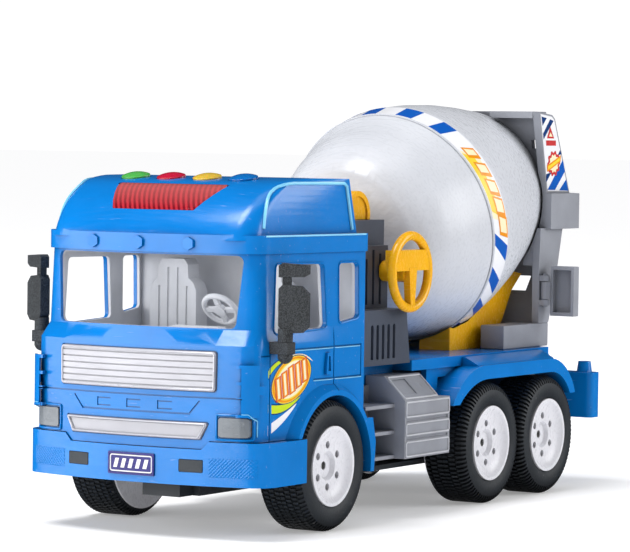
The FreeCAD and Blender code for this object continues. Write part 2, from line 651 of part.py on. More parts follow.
# ---- chassis and rear body --------------------------------------------------------------------
def chassis():
    """Dark tray that carries the axles, motor, batteries and loudspeaker."""
    half = CHASSIS_HALF
    y0 = CHASSIS_FRONT
    y1 = CHASSIS_REAR
    floor = box(-half, half, y0, y1, CHASSIS_LOW, CHASSIS_FLOOR)
    side_profile = [(y0, CHASSIS_LOW), (y1, 35.0), (y1, 60.0), (138.0, DECK_UNDER),
                    (DECK_FRONT + 0.2, DECK_UNDER), (DECK_FRONT + 0.2, NECK_UNDER),
                    (-70.0, NECK_UNDER), (-76.0, 62.0), (-150.0, 62.0), (-165.0, 42.0), (y0, 42.0)]
    slab = prism(side_profile, "x", -half, half)
    hollow = box(-half + 2.5, half - 2.5, y0 + 2.5, 168.5, CHASSIS_FLOOR, 100)
    wedge = prism([(y0, CHASSIS_LOW), (y0, 10), (y1, 10), (y1, 35.0), (118.0, 22.0), (112, CHASSIS_LOW)],
                  "x", -half - 1, half + 1)
    tray = cut(fuse(slab, floor), hollow, wedge)
    rear_floor = prism([(112.0, CHASSIS_LOW), (118.0, 22.0), (y1, 35.0), (y1, 37.5), (117, 24.5),
                        (112, CHASSIS_FLOOR)], "x", -half, half)
    under = box(-half - 1, half + 1, y0 - 1, NOSE_REAR, 10.0, NOSE_LOW)
    nose = box(-half, half, y0, NOSE_REAR + 2.0, NOSE_LOW, NOSE_FLOOR)
    keel = fuse(box(-10.5, 10.5, -158.0, -146.0, KEEL_LOW, NOSE_FLOOR),
                box(-14.5, 14.5, -147.0, NOSE_REAR, KEEL_LOW, NOSE_FLOOR),
                box(-half, half, NOSE_REAR, NOSE_REAR + 2.0, CHASSIS_LOW, NOSE_FLOOR))
    keel_in = fuse(box(-8.5, 8.5, -156.0, -140.0, KEEL_LOW + 2, 60),
                   box(-12.5, 12.5, -145.0, NOSE_REAR - 2.0, KEEL_LOW + 2, 60))
    ribs = [box(-half + 1, half - 1, y, y + 2, CHASSIS_LOW, 60.0) for y in (-96.0, -74.0, -20.0, 66.0)]
    body = cut(fuse(cut(fuse(tray, rear_floor, *ribs), under), nose, keel), keel_in)
    bores = [wheel_bore(name, AXLE_R + RUN, -half - 1, half + 1) for name in AXLE_Y]
    bay = box(-22.0, 22.0, -68.0, -24.0, 10, CHASSIS_FLOOR + 0.01)
    slots = [box(-9.0, 9.0, y, y + 1.4, 10, KEEL_LOW + 3) for y in (-138, -135, -132, -129, -126)]
    return cut(body, bay, *bores, *slots, *screw_bars(1.55, 10, 30))


SCREW_PLACES = [(x, y) for x in (-29.0, 29.0) for y in (-84.0, -48.0, -12.0, 76.0)]


def screw_bars(radius, low, high):
    """Upright cylinders at the chassis screws."""
    return [cylinder(radius, V(x, y, low), V(x, y, high)) for x, y in SCREW_PLACES]


def screws():
    """Cross-head screws that hold the chassis to the bodies."""
    shanks = screw_bars(1.5, 18.8, 33.0)
    heads = screw_bars(2.8, 18.2, 19.98)
    slot_a = [box(x - 1.6, x + 1.6, y - 0.35, y + 0.35, 18.0, 19.0) for x, y in SCREW_PLACES]
    slot_b = [box(x - 0.35, x + 0.35, y - 1.6, y + 1.6, 18.0, 19.0) for x, y in SCREW_PLACES]
    solids = [cut(fuse(s, h), a, b) for s, h, a, b in zip(shanks, heads, slot_a, slot_b)]
    return Part.makeCompound(solids)


def battery_cover():
    """Cover of the battery bay, flush with the chassis floor."""
    plate = box(-21.7, 21.7, -67.7, -24.3, CHASSIS_LOW, CHASSIS_LOW + 1.8)
    grip = box(-6.0, 6.0, -66.0, -63.0, CHASSIS_LOW - 0.1, CHASSIS_LOW + 0.8)
    return cut(plate, grip)


def battery_cells():
    """Three cells side by side in the bay."""
    cells = []
    for x in (-14.6, 0.0, 14.6):
        body = cylinder(7.0, V(x, -67.0, 29.4), V(x, -26.0, 29.4))
        nub = cylinder(2.6, V(x, -26.1, 29.4), V(x, -24.6, 29.4))
        cells.append(fuse(body, nub))
    return Part.makeCompound(cells)


def speaker():
    """Loudspeaker on the chassis floor over its slots."""
    centre = V(0, -131.0, NOSE_FLOOR)
    basket = cylinder(14.0, centre, centre + V(0, 0, 3.0))
    magnet = cylinder(8.0, centre + V(0, 0, 2.9), centre + V(0, 0, 7.5))
    cone = Part.makeCone(11.5, 5.0, 2.2, centre)
    return cut(fuse(basket, magnet), cone)


def fender():
    """Fender band over the two rear wheels with its sloping shoulder, left side."""
    x = FENDER_IN
    edges = [
        Part.Arc(V(x, 5.0, 52.5), V(x, 18.0, 65.0), V(x, 38.0, 71.0)).toShape(),
        Part.LineSegment(V(x, 38.0, 71.0), V(x, 113.0, 71.0)).toShape(),
        Part.Arc(V(x, 113.0, 71.0), V(x, 129.5, 65.0), V(x, 140.0, 51.7)).toShape(),
        Part.LineSegment(V(x, 140.0, 51.7), V(x, 134.0, 51.7)).toShape(),
        Part.Arc(V(x, 134.0, 51.7), V(x, 125.5, 60.2), V(x, 112.0, 64.0)).toShape(),
        Part.LineSegment(V(x, 112.0, 64.0), V(x, 42.0, 64.0)).toShape(),
        Part.Arc(V(x, 42.0, 64.0), V(x, 24.0, 60.0), V(x, 12.5, 52.5)).toShape(),
        Part.LineSegment(V(x, 12.5, 52.5), V(x, 5.0, 52.5)).toShape(),
    ]
    band = Part.Face(Part.Wire(edges)).extrude(V(FENDER_OUT - FENDER_IN, 0, 0))
    shoulder = prism([(50.0, 69.0), (64.5, 69.0), (64.5, 71.2), (57.0, 75.0), (50.0, 75.5)], "y", 34.0, 117.0)
    web = box(50.0, 53.0, 6.0, 134.0, 66.0, 72.0)
    return fuse(band, shoulder, web)


def rear_body():
    """Blue deck with its narrow neck, side skirts and the two fenders."""
    slab = box(-DECK_HALF, DECK_HALF, DECK_FRONT, DECK_REAR, DECK_UNDER, DECK_TOP)
    slab_in = box(-DECK_HALF + 2.5, DECK_HALF - 2.5, DECK_FRONT + 2.5, DECK_REAR - 2.5, 60, DECK_TOP - 2.5)
    ledge = box(-CHASSIS_HALF, CHASSIS_HALF, DECK_FRONT, DECK_REAR, DECK_UNDER, DECK_TOP)
    neck = box(-NECK_HALF, NECK_HALF, -70.0, DECK_FRONT, NECK_UNDER, NECK_TOP)
    neck_in = box(-CHASSIS_HALF + 3, CHASSIS_HALF - 3, -67.5, DECK_FRONT - 2, 60, NECK_TOP - 2.5)
    skirt = box(50.0, 53.0, 0.5, 12.0, 52.0, DECK_TOP - 2)
    side = fender()
    body = fuse(cut(slab, slab_in), ledge, neck, skirt, mirrored(skirt), side, mirrored(side))
    ledge_in = box(-CHASSIS_HALF + 3, CHASSIS_HALF - 3, DECK_FRONT + 3, DECK_REAR - 3, 60, DECK_TOP - 2.5)
    return cut(body, neck_in, ledge_in)


def rear_bumper():
    """Blue cross bumper with two pegs on top."""
    bar = prism([(-60, 171.5), (60, 171.5), (60, 183.0), (-60, 183.0)], "z", 35.5, 60.0, 4.0)
    pegs = [Part.makeCone(4.2, 3.4, 6.0, V(x, 176.5, 59.9)) for x in (-53.0, 53.0)]
    return fuse(bar, *pegs)


def side_box(side):
    """Grey box behind the cab with slanted gauge panel and three steps in front of it."""
    profile = [(44.3, 29.5), (67.0, 29.5), (67.0, 58.0), (55.0, 69.5), (44.3, 69.5)]
    step = box(44.0, 68.0, -10.5, 1.0, 58.0, 70.0)
    body = cut(prism(profile, "y", -45.0, 0.0), step)
    grooves = [box(66.3, 68.0, -43.0, -2.0, z, z + 1.2) for z in (38.6, 47.6)]
    back = box(42.0, 46.0, -73.0, -44.0, 29.5, 64.7)
    treads = [box(45.0, 61.0, -73.0, -44.0, z, z + 1.8) for z in (29.5, 41.5, 54.5)]
    arm = box(CHASSIS_HALF, 45.0, -60.0, -8.0, 34.0, 56.0)
    square = box(55.0, 70.0, -41.0, -28.5, 60.5, 67.5)
    gauge = Part.makeSphere(4.0, V(63.2, -19.0, 66.8))
    shape = cut(fuse(body, back, arm, *treads), *grooves)
    shape = cut(shape, gauge, square.common(slant_skin()))
    return shape if side == LEFT else mirrored(shape)


def slant_skin():
    """Thin layer on the side box's slanted panel."""
    points = [(67.0, 58.0), (70.0, 58.0), (58.0, 72.0), (55.0, 69.5), (54.6, 69.0), (66.6, 57.5)]
    return prism(points, "y", -45.0, 0.0)


# ---- tower, hand wheel and bevel gears ----------------------------------------------------------
def tower_base():
    """Lower, wider half of the grey tower with five upright slots on each side."""
    profile = [(TOWER_FRONT, NECK_TOP), (-20.0, NECK_TOP), (-24.0, TOWER_MID), (TOWER_FRONT, TOWER_MID)]
    outer = prism(profile, "x", -DECK_HALF, DECK_HALF)
    inner = box(-DECK_HALF + WALL, DECK_HALF - WALL, TOWER_FRONT + WALL, -26.0, 60.0, TOWER_MID - WALL)
    slots = []
    for k in range(5):
        y = -58.5 + 5.3 * k
        slots.append(box(-60, 60, y, y + 2.4, 78.0, 93.8))
        slots.append(cylinder(1.2, V(-60, y + 1.2, 93.8), V(60, y + 1.2, 93.8)))
    return cut(outer, inner, *slots)


def tower_housing():
    """Upper half of the tower: a gear housing with bearings for drum shaft and hand wheel."""
    upper = box(-40.0, 40.0, TOWER_FRONT, TOWER_REAR, TOWER_MID, TOWER_TOP)
    cheeks = box(-44.5, 44.5, TOWER_FRONT, -25.0, TOWER_MID, TOWER_SHOULDER)
    inside = box(-37.0, 37.0, TOWER_FRONT + 3, TOWER_REAR - 3, TOWER_MID - 1, TOWER_TOP - 3)
    bulge = cylinder(11.0, V(6.5, CRANK_Y, CRANK_Z), V(26.5, CRANK_Y, CRANK_Z))
    gear_room = cylinder(9.5, V(8.0, CRANK_Y, CRANK_Z), V(25.0, CRANK_Y, CRANK_Z))
    shell = cut(fuse(upper, cheeks, bulge), inside, gear_room)
    grooves = []
    for k, top in enumerate((129.0, 131.0, 126.5, 131.0, 129.0)):
        y = -60.0 + 6.6 * k
        grooves.append(box(42.8, 46.0, y, y + 2.0, 104.0, top))
    shaft = cylinder(SHAFT_R + RUN, along_drum(-90.0), along_drum(-60.0))
    crank = cylinder(CRANK_R + RUN, V(30, CRANK_Y, CRANK_Z), V(50, CRANK_Y, CRANK_Z))
    return cut(shell, shaft, crank, *grooves, *[mirrored(groove) for groove in grooves])


def water_tank():
    """Yellow half-round water tank lying across the top of the tower."""
    centre_z = 148.0
    body = cylinder(11.8, V(-36, -40, centre_z), V(36, -40, centre_z))
    recess = [cylinder(9.0, V(x0, -40, centre_z), V(x1, -40, centre_z)) for x0, x1 in ((-37, -35), (35, 37))]
    return cut(body, box(-50, 50, -80, 0, 100, TOWER_TOP), *recess)


def bevel_tooth(pitch_angle, axis, start, angle, half_width, tip, root, heel, toe):
    """One tapered bevel tooth whose edges all run to the apex."""
    across = axis.cross(start)
    outward = start * math.cos(angle) + across * math.sin(angle)
    sideways = across * math.cos(angle) - start * math.sin(angle)

    def corner(lift, width, scale):
        lean = pitch_angle + lift / heel
        out = outward * math.sin(lean) + axis * math.cos(lean)
        return APEX + (out * heel + sideways * width) * scale

    wires = []
    for scale in (1.0, toe / heel):
        ring = [corner(-root, -half_width * 1.35, scale), corner(tip, -half_width * 0.55, scale),
                corner(tip, half_width * 0.55, scale), corner(-root, half_width * 1.35, scale)]
        wires.append(Part.makePolygon(ring + [ring[0]]))
    return Part.makeLoft(wires, True, True)


def bevel_gear(radius, mate_radius, teeth, axis, start, phase, bore, hub_r, hub_end):
    """Straight bevel gear about an axis through the apex; axis points to the gear's back."""
    pitch_angle = math.atan2(radius, mate_radius)
    heel = math.hypot(radius, mate_radius)
    toe = heel - 6.0
    tip = 0.75
    root = 0.95
    lean = pitch_angle - root / heel
    points = []
    for reach in (toe, heel):
        points.append((reach * math.cos(lean), reach * math.sin(lean)))
    profile = [(points[0][0], bore), points[0], points[1], (points[1][0] + 1.0, points[1][1]),
               (hub_end - 0.5, hub_r), (hub_end, hub_r), (hub_end, bore)]
    path = [APEX + axis * a + start * r for a, r in profile]
    body = Part.Face(Part.makePolygon(path + [path[0]])).revolve(APEX, axis, 360)
    half_width = math.pi * radius / teeth / 2 * 0.66
    turn = 2 * math.pi / teeth
    teeth_solids = [
        bevel_tooth(pitch_angle, axis, start, turn * (k + phase), half_width, tip, root + 0.15, heel, toe)
        for k in range(teeth)
    ]
    bar = Part.makeCylinder(bore, 60, APEX, axis)
    return cut(fuse(body, *teeth_solids), bar)


def drum_gear():
    """Bevel gear on the front end of the drum's shaft."""
    return bevel_gear(BEVEL_DRUM_R, BEVEL_CRANK_R, BEVEL_DRUM_TEETH, DRUM_DIR * -1, X_AXIS, 0.5,
                      SHAFT_R, 7.0, 15.5)


def crank_gear():
    """Bevel pinion on the hand wheel's shaft."""
    return bevel_gear(BEVEL_CRANK_R, BEVEL_DRUM_R, BEVEL_CRANK_TEETH, X_AXIS, DRUM_DIR * -1, 0.0,
                      CRANK_R, 5.6, 24.0)


def crank_wheel():
    """Yellow hand wheel with a thick cross bar, a spoke and its shaft."""
    y = CRANK_Y
    z = CRANK_Z
    x = CRANK_WHEEL_X
    ring = Part.makeTorus(CRANK_RING_R, CRANK_TUBE_R, V(x, y, z), X_AXIS)
    bar = box(x - 4.6, x + 1.6, y - CRANK_RING_R + 1.2, y + CRANK_RING_R - 1.2, z + 0.6, z + 10.8)
    spoke = prism([(y - 2.0, z - 17.5), (y + 2.0, z - 17.5), (y + 3.8, z + 2.0), (y - 3.8, z + 2.0)],
                  "x", x - 1.8, x + 1.8)
    shaft = cylinder(CRANK_R, V(17.0, y, z), V(x, y, z))
    collar = cylinder(5.2, V(45.2, y, z), V(x - 1.0, y, z))
    return fuse(ring, bar, spoke, shaft, collar)


# ---- drum -------------------------------------------------------------------------------------
FRONT_SKIN = [(-54.0, 13.0), (-51.5, 28.0), (-48.0, 40.0), (-41.0, 46.0), (-31.0, 51.0), (-21.0, 54.2),
              (-11.0, 56.6), (0.0, DRUM_EDGE_R)]
REAR_SKIN = [(0.0, DRUM_EDGE_R + 0.6), (15.0, 61.2), (32.0, 58.9), (50.0, 55.2), (68.0, 50.4), (87.0, 44.6)]
DRUM_WALL = 1.8


def drum_front():
    """Front half of the drum: dished shell with its hub and shaft."""
    inner = [(s + DRUM_WALL, max(r - DRUM_WALL, 0.0)) for s, r in reversed(FRONT_SKIN[:-1])]
    edge = (-TOUCH / 2, DRUM_EDGE_R - DRUM_WALL)
    skin = [(s, r) for s, r in FRONT_SKIN[:-1]] + [(-TOUCH / 2, DRUM_EDGE_R)]
    start = [(-108.0, 0.0), (-108.0, SHAFT_R), (-58.0, SHAFT_R), (-58.0, 9.0), (-54.0, 9.0)]
    return turned(start + skin + [edge] + inner + [(-54.0 + DRUM_WALL, 0.0)])


def drum_rear():
    """Rear half of the drum: band, cone, end wall and the collar around its mouth."""
    outer = [(TOUCH / 2, REAR_SKIN[0][1])] + REAR_SKIN[1:]
    inner = [(s, r - DRUM_WALL) for s, r in reversed(outer)]
    inner[0] = (inner[0][0] - DRUM_WALL, inner[0][1] + 0.4)
    collar = [(87.0, MOUTH_R), (95.5, MOUTH_R), (95.5, 13.5), (87.0 - DRUM_WALL, 13.5)]
    return turned(outer + collar + inner)


def drum_sticker():
    """Printed band around the widest part of the drum."""
    skin = 0.15
    return turned([(1.0, REAR_SKIN[0][1] + 0.04), (1.0, REAR_SKIN[0][1] + 0.04 + skin),
                   (14.4, 61.176 + skin), (14.4, 61.176)])


def drum_envelope(gap):
    """Solid drum grown by a gap, to clear the parts around it."""
    points = [(-60.0, 0.0), (-60.0, 30.0), (-48.0, 40.0 + gap), (-31.0, 51.0 + gap), (0.0, 61.0 + gap),
              (15.0, 61.3 + gap), (50.0, 55.3 + gap), (87.0 + gap, 44.7 + gap), (87.0 + gap, 0.0)]
    return turned(points)


# ---- rear housing -----------------------------------------------------------------------------
def drum_cradle():
    """Yellow saddle under the back of the drum."""
    profile = [(62.0, DECK_TOP), (100.0, DECK_TOP), (119.3, 89.4), (130.0, 105.5), (141.0, 114.0),
               (128.0, 116.0), (62.0, 92.0)]
    block = prism(profile, "x", -32.0, 32.0)
    tunnel = box(-14.0, 14.0, 50.0, 150.0, 70.0, 88.0)
    return cut(block, drum_envelope(0.8), tunnel)


def rear_base():
    """Grey base block of the rear housing, open to the front for the cradle."""
    block = box(-50.0, 50.0, 88.0, 138.5, DECK_TOP, 88.5)
    room = box(-36.0, 36.0, 80.0, 122.0, 70.0, 95.0)
    pocket = box(-33.0, 33.0, 120.0, 126.0, 78.0, 95.0)
    return cut(block, room, pocket)


def plate_point(s, z):
    """(y, z) of the plane square to the drum's axis at s."""
    return (DRUM_Y + (s / math.cos(DRUM_TILT)) - (z - DRUM_Z) * math.tan(DRUM_TILT), z)


def rear_plate():
    """Grey back plate with the drum's rear bearing, two windows, two notches and the chute."""
    s0 = PLATE_S
    s1 = PLATE_S + PLATE_THICK
    profile = [plate_point(s0, 201.2), plate_point(s0, 112.0), (133.0, 88.5), (138.0, 88.5),
               plate_point(s1, 111.0), plate_point(s1, 201.2)]
    plate = prism(profile, "x", -45.9, 45.9)
    ears = cut(box(20.0, 45.9, 124.2, 140.0, 197.6, 201.2), drum_envelope(0.8))
    bore = cylinder(MOUTH_R + 0.08, along_drum(80), along_drum(110))
    windows = [box(x - 7.0, x + 7.0, 120, 170, 104.5, 112.5) for x in (-25.0, 25.0)]
    notches = [box(x - 2.6, x + 2.6, 120, 170, 181.5, 186.0) for x in (-42.0, 42.0)]
    body = cut(fuse(plate, ears, mirrored(ears), chute()), bore, *windows, *notches)
    return body


def chute():
    """Half-round discharge trough below the drum's mouth."""
    start = along_drum(PLATE_S + 1.0)
    run = V(0, math.cos(math.radians(38)), -math.sin(math.radians(38)))
    end = start + run * 36.0
    outer = cylinder(20.0, start, end)
    inner = cylinder(17.6, start - run * 30, end + run * 5)
    upper = prism([(100.0, 201.0), (190.0, 130.7), (190.0, 230.0), (100.0, 230.0)], "x", -30, 30)
    ahead_of_plate = prism([plate_point(PLATE_S + 1.0, 210), plate_point(PLATE_S + 1.0, 100), (60, 100),
                            (60, 210)], "x", -30, 30)
    return cut(outer, inner, upper, ahead_of_plate)


def rear_side(side):
    """Side panel of the rear housing, with its closed box half way up."""
    profile = [(124.0, 201.0), (139.0, 199.6), (142.5, 197.5), (161.0, 157.7), (167.0, 157.7),
               (167.0, 138.4), (153.4, 138.4), (148.4, 119.0), (139.8, 92.0), (138.5, 88.5),
               (127.0, 88.5), (126.5, 118.0), (128.0, 139.0), (134.0, 139.0), (134.0, 158.0)]
    panel = prism(profile, "x", 46.0, 50.0)
    lug_box = box(46.0, 53.0, 134.0, 167.0, 138.6, 157.6)
    step = prism([(128.0, 139.0), (134.0, 139.0), (134.0, 119.0), (127.2, 119.0)], "x", 40.0, 50.0)
    knuckles = [cylinder(2.4, V(52.4, 129.5, z), V(52.4, 129.5, z + 3.0)) for z in (98.0, 111.0)]
    ears = [box(49.0, 52.4, 127.1, 131.9, z, z + 3.0) for z in (98.0, 111.0)]
    pin_room = cylinder(1.3 + RUN, V(52.4, 129.5, 90), V(52.4, 129.5, 120))
    shape = cut(fuse(panel, lug_box, step, *knuckles, *ears), pin_room, drum_envelope(1.0))
    return shape if side == LEFT else mirrored(shape)


def side_flap(side):
    """Hinged hollow flap on the rear panel, with its pin moulded on."""
    body = box(54.9, 68.9, 130.6, 136.6, 92.5, 119.0)
    recess = box(56.5, 67.1, 129.0, 134.6, 94.5, 117.0)
    knuckle = cylinder(2.2, V(52.4, 129.5, 101.3), V(52.4, 129.5, 110.7))
    web = box(52.4, 55.6, 128.5, 132.4, 101.3, 110.7)
    pin = cylinder(1.3, V(52.4, 129.5, 97.0), V(52.4, 129.5, 115.0))
    shape = fuse(cut(body, recess), knuckle, web, pin)
    return shape if side == LEFT else mirrored(shape)


# ---- wheels and friction motor ----------------------------------------------------------------
def tyre(centre_y):
    """Tyre with rounded shoulders and a ring of tread notches, left side."""
    out = TYRE_OUT
    inn = TYRE_OUT - TYRE_WIDTH
    centre = V(0, centre_y, AXLE_Z)
    profile = [(inn, RIM_R), (inn, 28.0), (inn + 0.9, 30.0), (inn + 3.2, WHEEL_R), (out - 4.2, WHEEL_R),
               (out - 2.4, 30.3), (out - 1.0, 28.4), (out - 0.2, 26.0), (out, 23.0), (out, RIM_R)]
    body = spin_profile(profile, centre)
    notches = []
    count = 36
    for k in range(count):
        angle = 2 * math.pi * (k + 0.5) / count
        for x0, x1 in ((inn - 1, inn + 7.0), (out - 7.0, out + 1)):
            notch = box(x0, x1, -0.9, 0.9, 29.3, 33.0)
            notch.rotate(V(0, 0, 0), X_AXIS, math.degrees(angle))
            notch.translate(centre)
            notches.append(notch)
    return cut(body, *notches)


def rim(centre_y):
    """White rim with a stepped dish, hub recess and six holes, left side."""
    out = TYRE_OUT - 0.3
    centre = V(0, centre_y, AXLE_Z)
    profile = [(out - 23.0, AXLE_R), (out - 23.0, 5.0), (out - 8.0, 5.0), (out - 8.0, 17.0),
               (out - 23.0, 17.4), (out - 23.0, RIM_R), (out, RIM_R), (out, 17.6), (out - 2.0, 15.6),
               (out - 3.4, 12.4), (out - 3.4, 7.0), (out - 5.6, 5.6), (out - 5.6, AXLE_R)]
    body = spin_profile(profile, centre)
    holes = []
    for k in range(6):
        angle = math.radians(60 * k + 30)
        spot = centre + V(0, 10.0 * math.cos(angle), 10.0 * math.sin(angle))
        holes.append(cylinder(1.7, spot + V(out - 10, 0, 0), spot + V(out + 1, 0, 0)))
    return cut(body, *holes)


def pair(shape_function, name):
    """The left and right copies of a wheel piece on one axle."""
    return both_sides(shape_function(AXLE_Y[name]))


def axle(name):
    """Steel axle with its ends inside the rims."""
    return wheel_bore(name, AXLE_R, -TYRE_OUT + 6.2, TYRE_OUT - 6.2)


AXLE_CENTRE = V(0, AXLE_Y["middle"], AXLE_Z)
SPUR_REACH = SPUR_MODULE * (SPUR_BIG + SPUR_SMALL) / 2
IDLER_CENTRE = AXLE_CENTRE + V(0, -0.8, 0.6) * SPUR_REACH
FLYWHEEL_CENTRE = IDLER_CENTRE + V(0, -0.8, 0.6) * SPUR_REACH
MESH_ANGLE = math.atan2(0.6, -0.8)


def involute(base_r, radius):
    """Polar angle of the involute at a radius."""
    roll = math.sqrt(max((radius / base_r) ** 2 - 1, 0.0))
    return roll - math.atan(roll)


def spur_gear(teeth, centre, x0, x1, phase, tip):
    """Spur gear about a line along X; phase 0 puts a tooth on the +Y side."""
    pitch_r = SPUR_MODULE * teeth / 2
    base_r = pitch_r * math.cos(math.radians(20))
    root_r = pitch_r - 1.15 * SPUR_MODULE
    tip_r = pitch_r + tip * SPUR_MODULE
    half = math.pi / 2 / teeth * 0.86 + involute(base_r, pitch_r)
    stations = [max(base_r, root_r + 0.02) + (tip_r - base_r) * k / 4 for k in range(5)]
    points = []
    for k in range(teeth):
        middle = 2 * math.pi * (k + phase) / teeth
        left = [(root_r, middle - half)] + [(r, middle - half + involute(base_r, r)) for r in stations]
        right = [(r, 2 * middle - a) for r, a in reversed(left)]
        points += left + right
    path = [centre + V(x0, r * math.cos(a), r * math.sin(a)) for r, a in points]
    return Part.Face(Part.makePolygon(path + [path[0]])).extrude(V(x1 - x0, 0, 0))


def tooth_phase(teeth, angle, on_tooth):
    """Phase that puts a tooth, or a gap, at an angle measured from +Y towards +Z."""
    phase = angle * teeth / (2 * math.pi)
    return phase if on_tooth else phase + 0.5


def axle_gear():
    """Gear pressed on the middle axle."""
    gear = spur_gear(SPUR_BIG, AXLE_CENTRE, 3.0, 7.0, tooth_phase(SPUR_BIG, MESH_ANGLE, True), 0.7)
    hub = cylinder(4.0, AXLE_CENTRE + V(6.9, 0, 0), AXLE_CENTRE + V(10.5, 0, 0))
    bore = wheel_bore("middle", AXLE_R, -20, 20)
    return cut(fuse(gear, hub), bore)


def idler_gear():
    """Two-step gear between axle and flywheel, with its shaft."""
    back = MESH_ANGLE + math.pi
    pinion = spur_gear(SPUR_SMALL, IDLER_CENTRE, 1.9, 7.4, tooth_phase(SPUR_SMALL, back, False), 0.7)
    wheel = spur_gear(SPUR_BIG, IDLER_CENTRE, -2.0, 2.0, tooth_phase(SPUR_BIG, MESH_ANGLE, True), 0.7)
    shaft = cylinder(1.5, IDLER_CENTRE + V(-13.4, 0, 0), IDLER_CENTRE + V(11.6, 0, 0))
    return fuse(pinion, wheel, shaft)


def flywheel():
    """Steel flywheel with its pinion and shaft."""
    back = MESH_ANGLE + math.pi
    disc = cylinder(FLYWHEEL_R, FLYWHEEL_CENTRE + V(-11.6, 0, 0), FLYWHEEL_CENTRE + V(-3.4, 0, 0))
    pinion = spur_gear(SPUR_SMALL, FLYWHEEL_CENTRE, -3.5, 2.4, tooth_phase(SPUR_SMALL, back, False), 0.7)
    shaft = cylinder(1.5, FLYWHEEL_CENTRE + V(-13.4, 0, 0), FLYWHEEL_CENTRE + V(11.6, 0, 0))
    return fuse(disc, pinion, shaft)


def motor_case():
    """Open-topped case of the friction motor, with its bearings."""
    outer = box(-14.4, 12.6, 15.0, 58.0, CHASSIS_FLOOR, 57.0)
    inner = box(-12.4, 10.8, 16.6, 56.4, CHASSIS_FLOOR + 0.15, 60.0)
    case = cut(outer, inner)
    bores = [cylinder(1.5 + RUN, c + V(-13.6, 0, 0), c + V(11.8, 0, 0))
             for c in (IDLER_CENTRE, FLYWHEEL_CENTRE)]
    axle_room = wheel_bore("middle", AXLE_R + 0.4, -20, 20)
    return cut(case, axle_room, *bores)


# ---- stickers ---------------------------------------------------------------------------------
def side_stickers():
    """Thin printed sheets on the doors and on the rear panels."""
    corner_y = -165.9
    slope = LOWER_PLAN[1] / (CAB_REAR - corner_y)
    y = -144.7
    x = BODY_HALF - slope * (CAB_REAR - y) + 0.02
    film = 0.15
    face = Part.Face(Part.Wire([Part.Ellipse(V(0, 0, 0), 17.4, 10.2).toShape()]))
    on_side = FreeCAD.Rotation(V(1, 1, 1), 120)
    tilted = FreeCAD.Rotation(X_AXIS, 20)
    along_wall = FreeCAD.Rotation(Z_AXIS, -math.degrees(math.atan(slope)))
    face.Placement = FreeCAD.Placement(V(x, y, 73.7), along_wall * tilted * on_side)
    oval = face.extrude(V(film, 0, 0))
    panel = prism([(125.2, 200.0), (138.6, 198.6), (141.4, 196.8), (159.2, 158.6), (135.0, 158.8)],
                  "x", 50.0, 50.0 + film)
    return Part.makeCompound([oval, mirrored(oval), panel, mirrored(panel)])


# ---- write out --------------------------------------------------------------------------------
def all_parts():
    """Every node's name and shape."""
    parts = {
        "chassis": chassis(),
        "cab_shell": cab_shell(),
        "cab_roof": cab_roof(),
        "cab_interior": cab_interior(),
        "seats": seats(),
        "steering_wheel": steering_wheel(),
        "mirror_brackets": mirror_brackets(),
        "mirror_left": mirror(LEFT),
        "mirror_right": mirror(RIGHT),
        "front_bumper": front_bumper(),
        "front_grille": front_grille(),
        "lower_grille": lower_grille(),
        "headlamps": headlamps(),
        "fog_lamps": fog_lamps(),
        "number_plate": number_plate(),
        "roof_lens": roof_lens(),
        "key_pad": key_pad(),
        "sound_board": sound_board(),
        "speaker": speaker(),
        "battery_cover": battery_cover(),
        "battery_cells": battery_cells(),
        "screws": screws(),
        "rear_body": rear_body(),
        "rear_bumper": rear_bumper(),
        "side_box_left": side_box(LEFT),
        "side_box_right": side_box(RIGHT),
        "tower_base": tower_base(),
        "tower_housing": tower_housing(),
        "water_tank": water_tank(),
        "crank_wheel": crank_wheel(),
        "crank_gear": crank_gear(),
        "drum_gear": drum_gear(),
        "drum_front": drum_front(),
        "drum_rear": drum_rear(),
        "drum_sticker": drum_sticker(),
        "drum_cradle": drum_cradle(),
        "rear_base": rear_base(),
        "rear_plate": rear_plate(),
        "rear_side_left": rear_side(LEFT),
        "rear_side_right": rear_side(RIGHT),
        "side_flap_left": side_flap(LEFT),
        "side_flap_right": side_flap(RIGHT),
        "side_stickers": side_stickers(),
        "motor_case": motor_case(),
        "flywheel": flywheel(),
        "idler_gear": idler_gear(),
        "axle_gear": axle_gear(),
    }
    for name in BUTTON_X:
        parts[f"button_{name}"] = button(name)
    for name in AXLE_Y:
        parts[f"{name}_tyres"] = pair(tyre, name)
        parts[f"{name}_rims"] = pair(rim, name)
        parts[f"axle_{name}"] = axle(name)
    return parts


def main():
    """Build and export each sub-part."""
    os.makedirs("parts", exist_ok=True)
    for name, shape in all_parts().items():
        if not shape.isValid() or shape.Volume <= 0:
            print("check", name, shape.isValid(), round(shape.Volume, 2))
        shape.exportStep(f"parts/{name}.step")
        print(name, len(shape.Solids), round(shape.Volume / 1000, 2))


main()
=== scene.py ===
"""Looks of the toy cement mixer truck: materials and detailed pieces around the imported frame."""
import json
import math

import bmesh
import bpy
from mathutils import Matrix, Vector


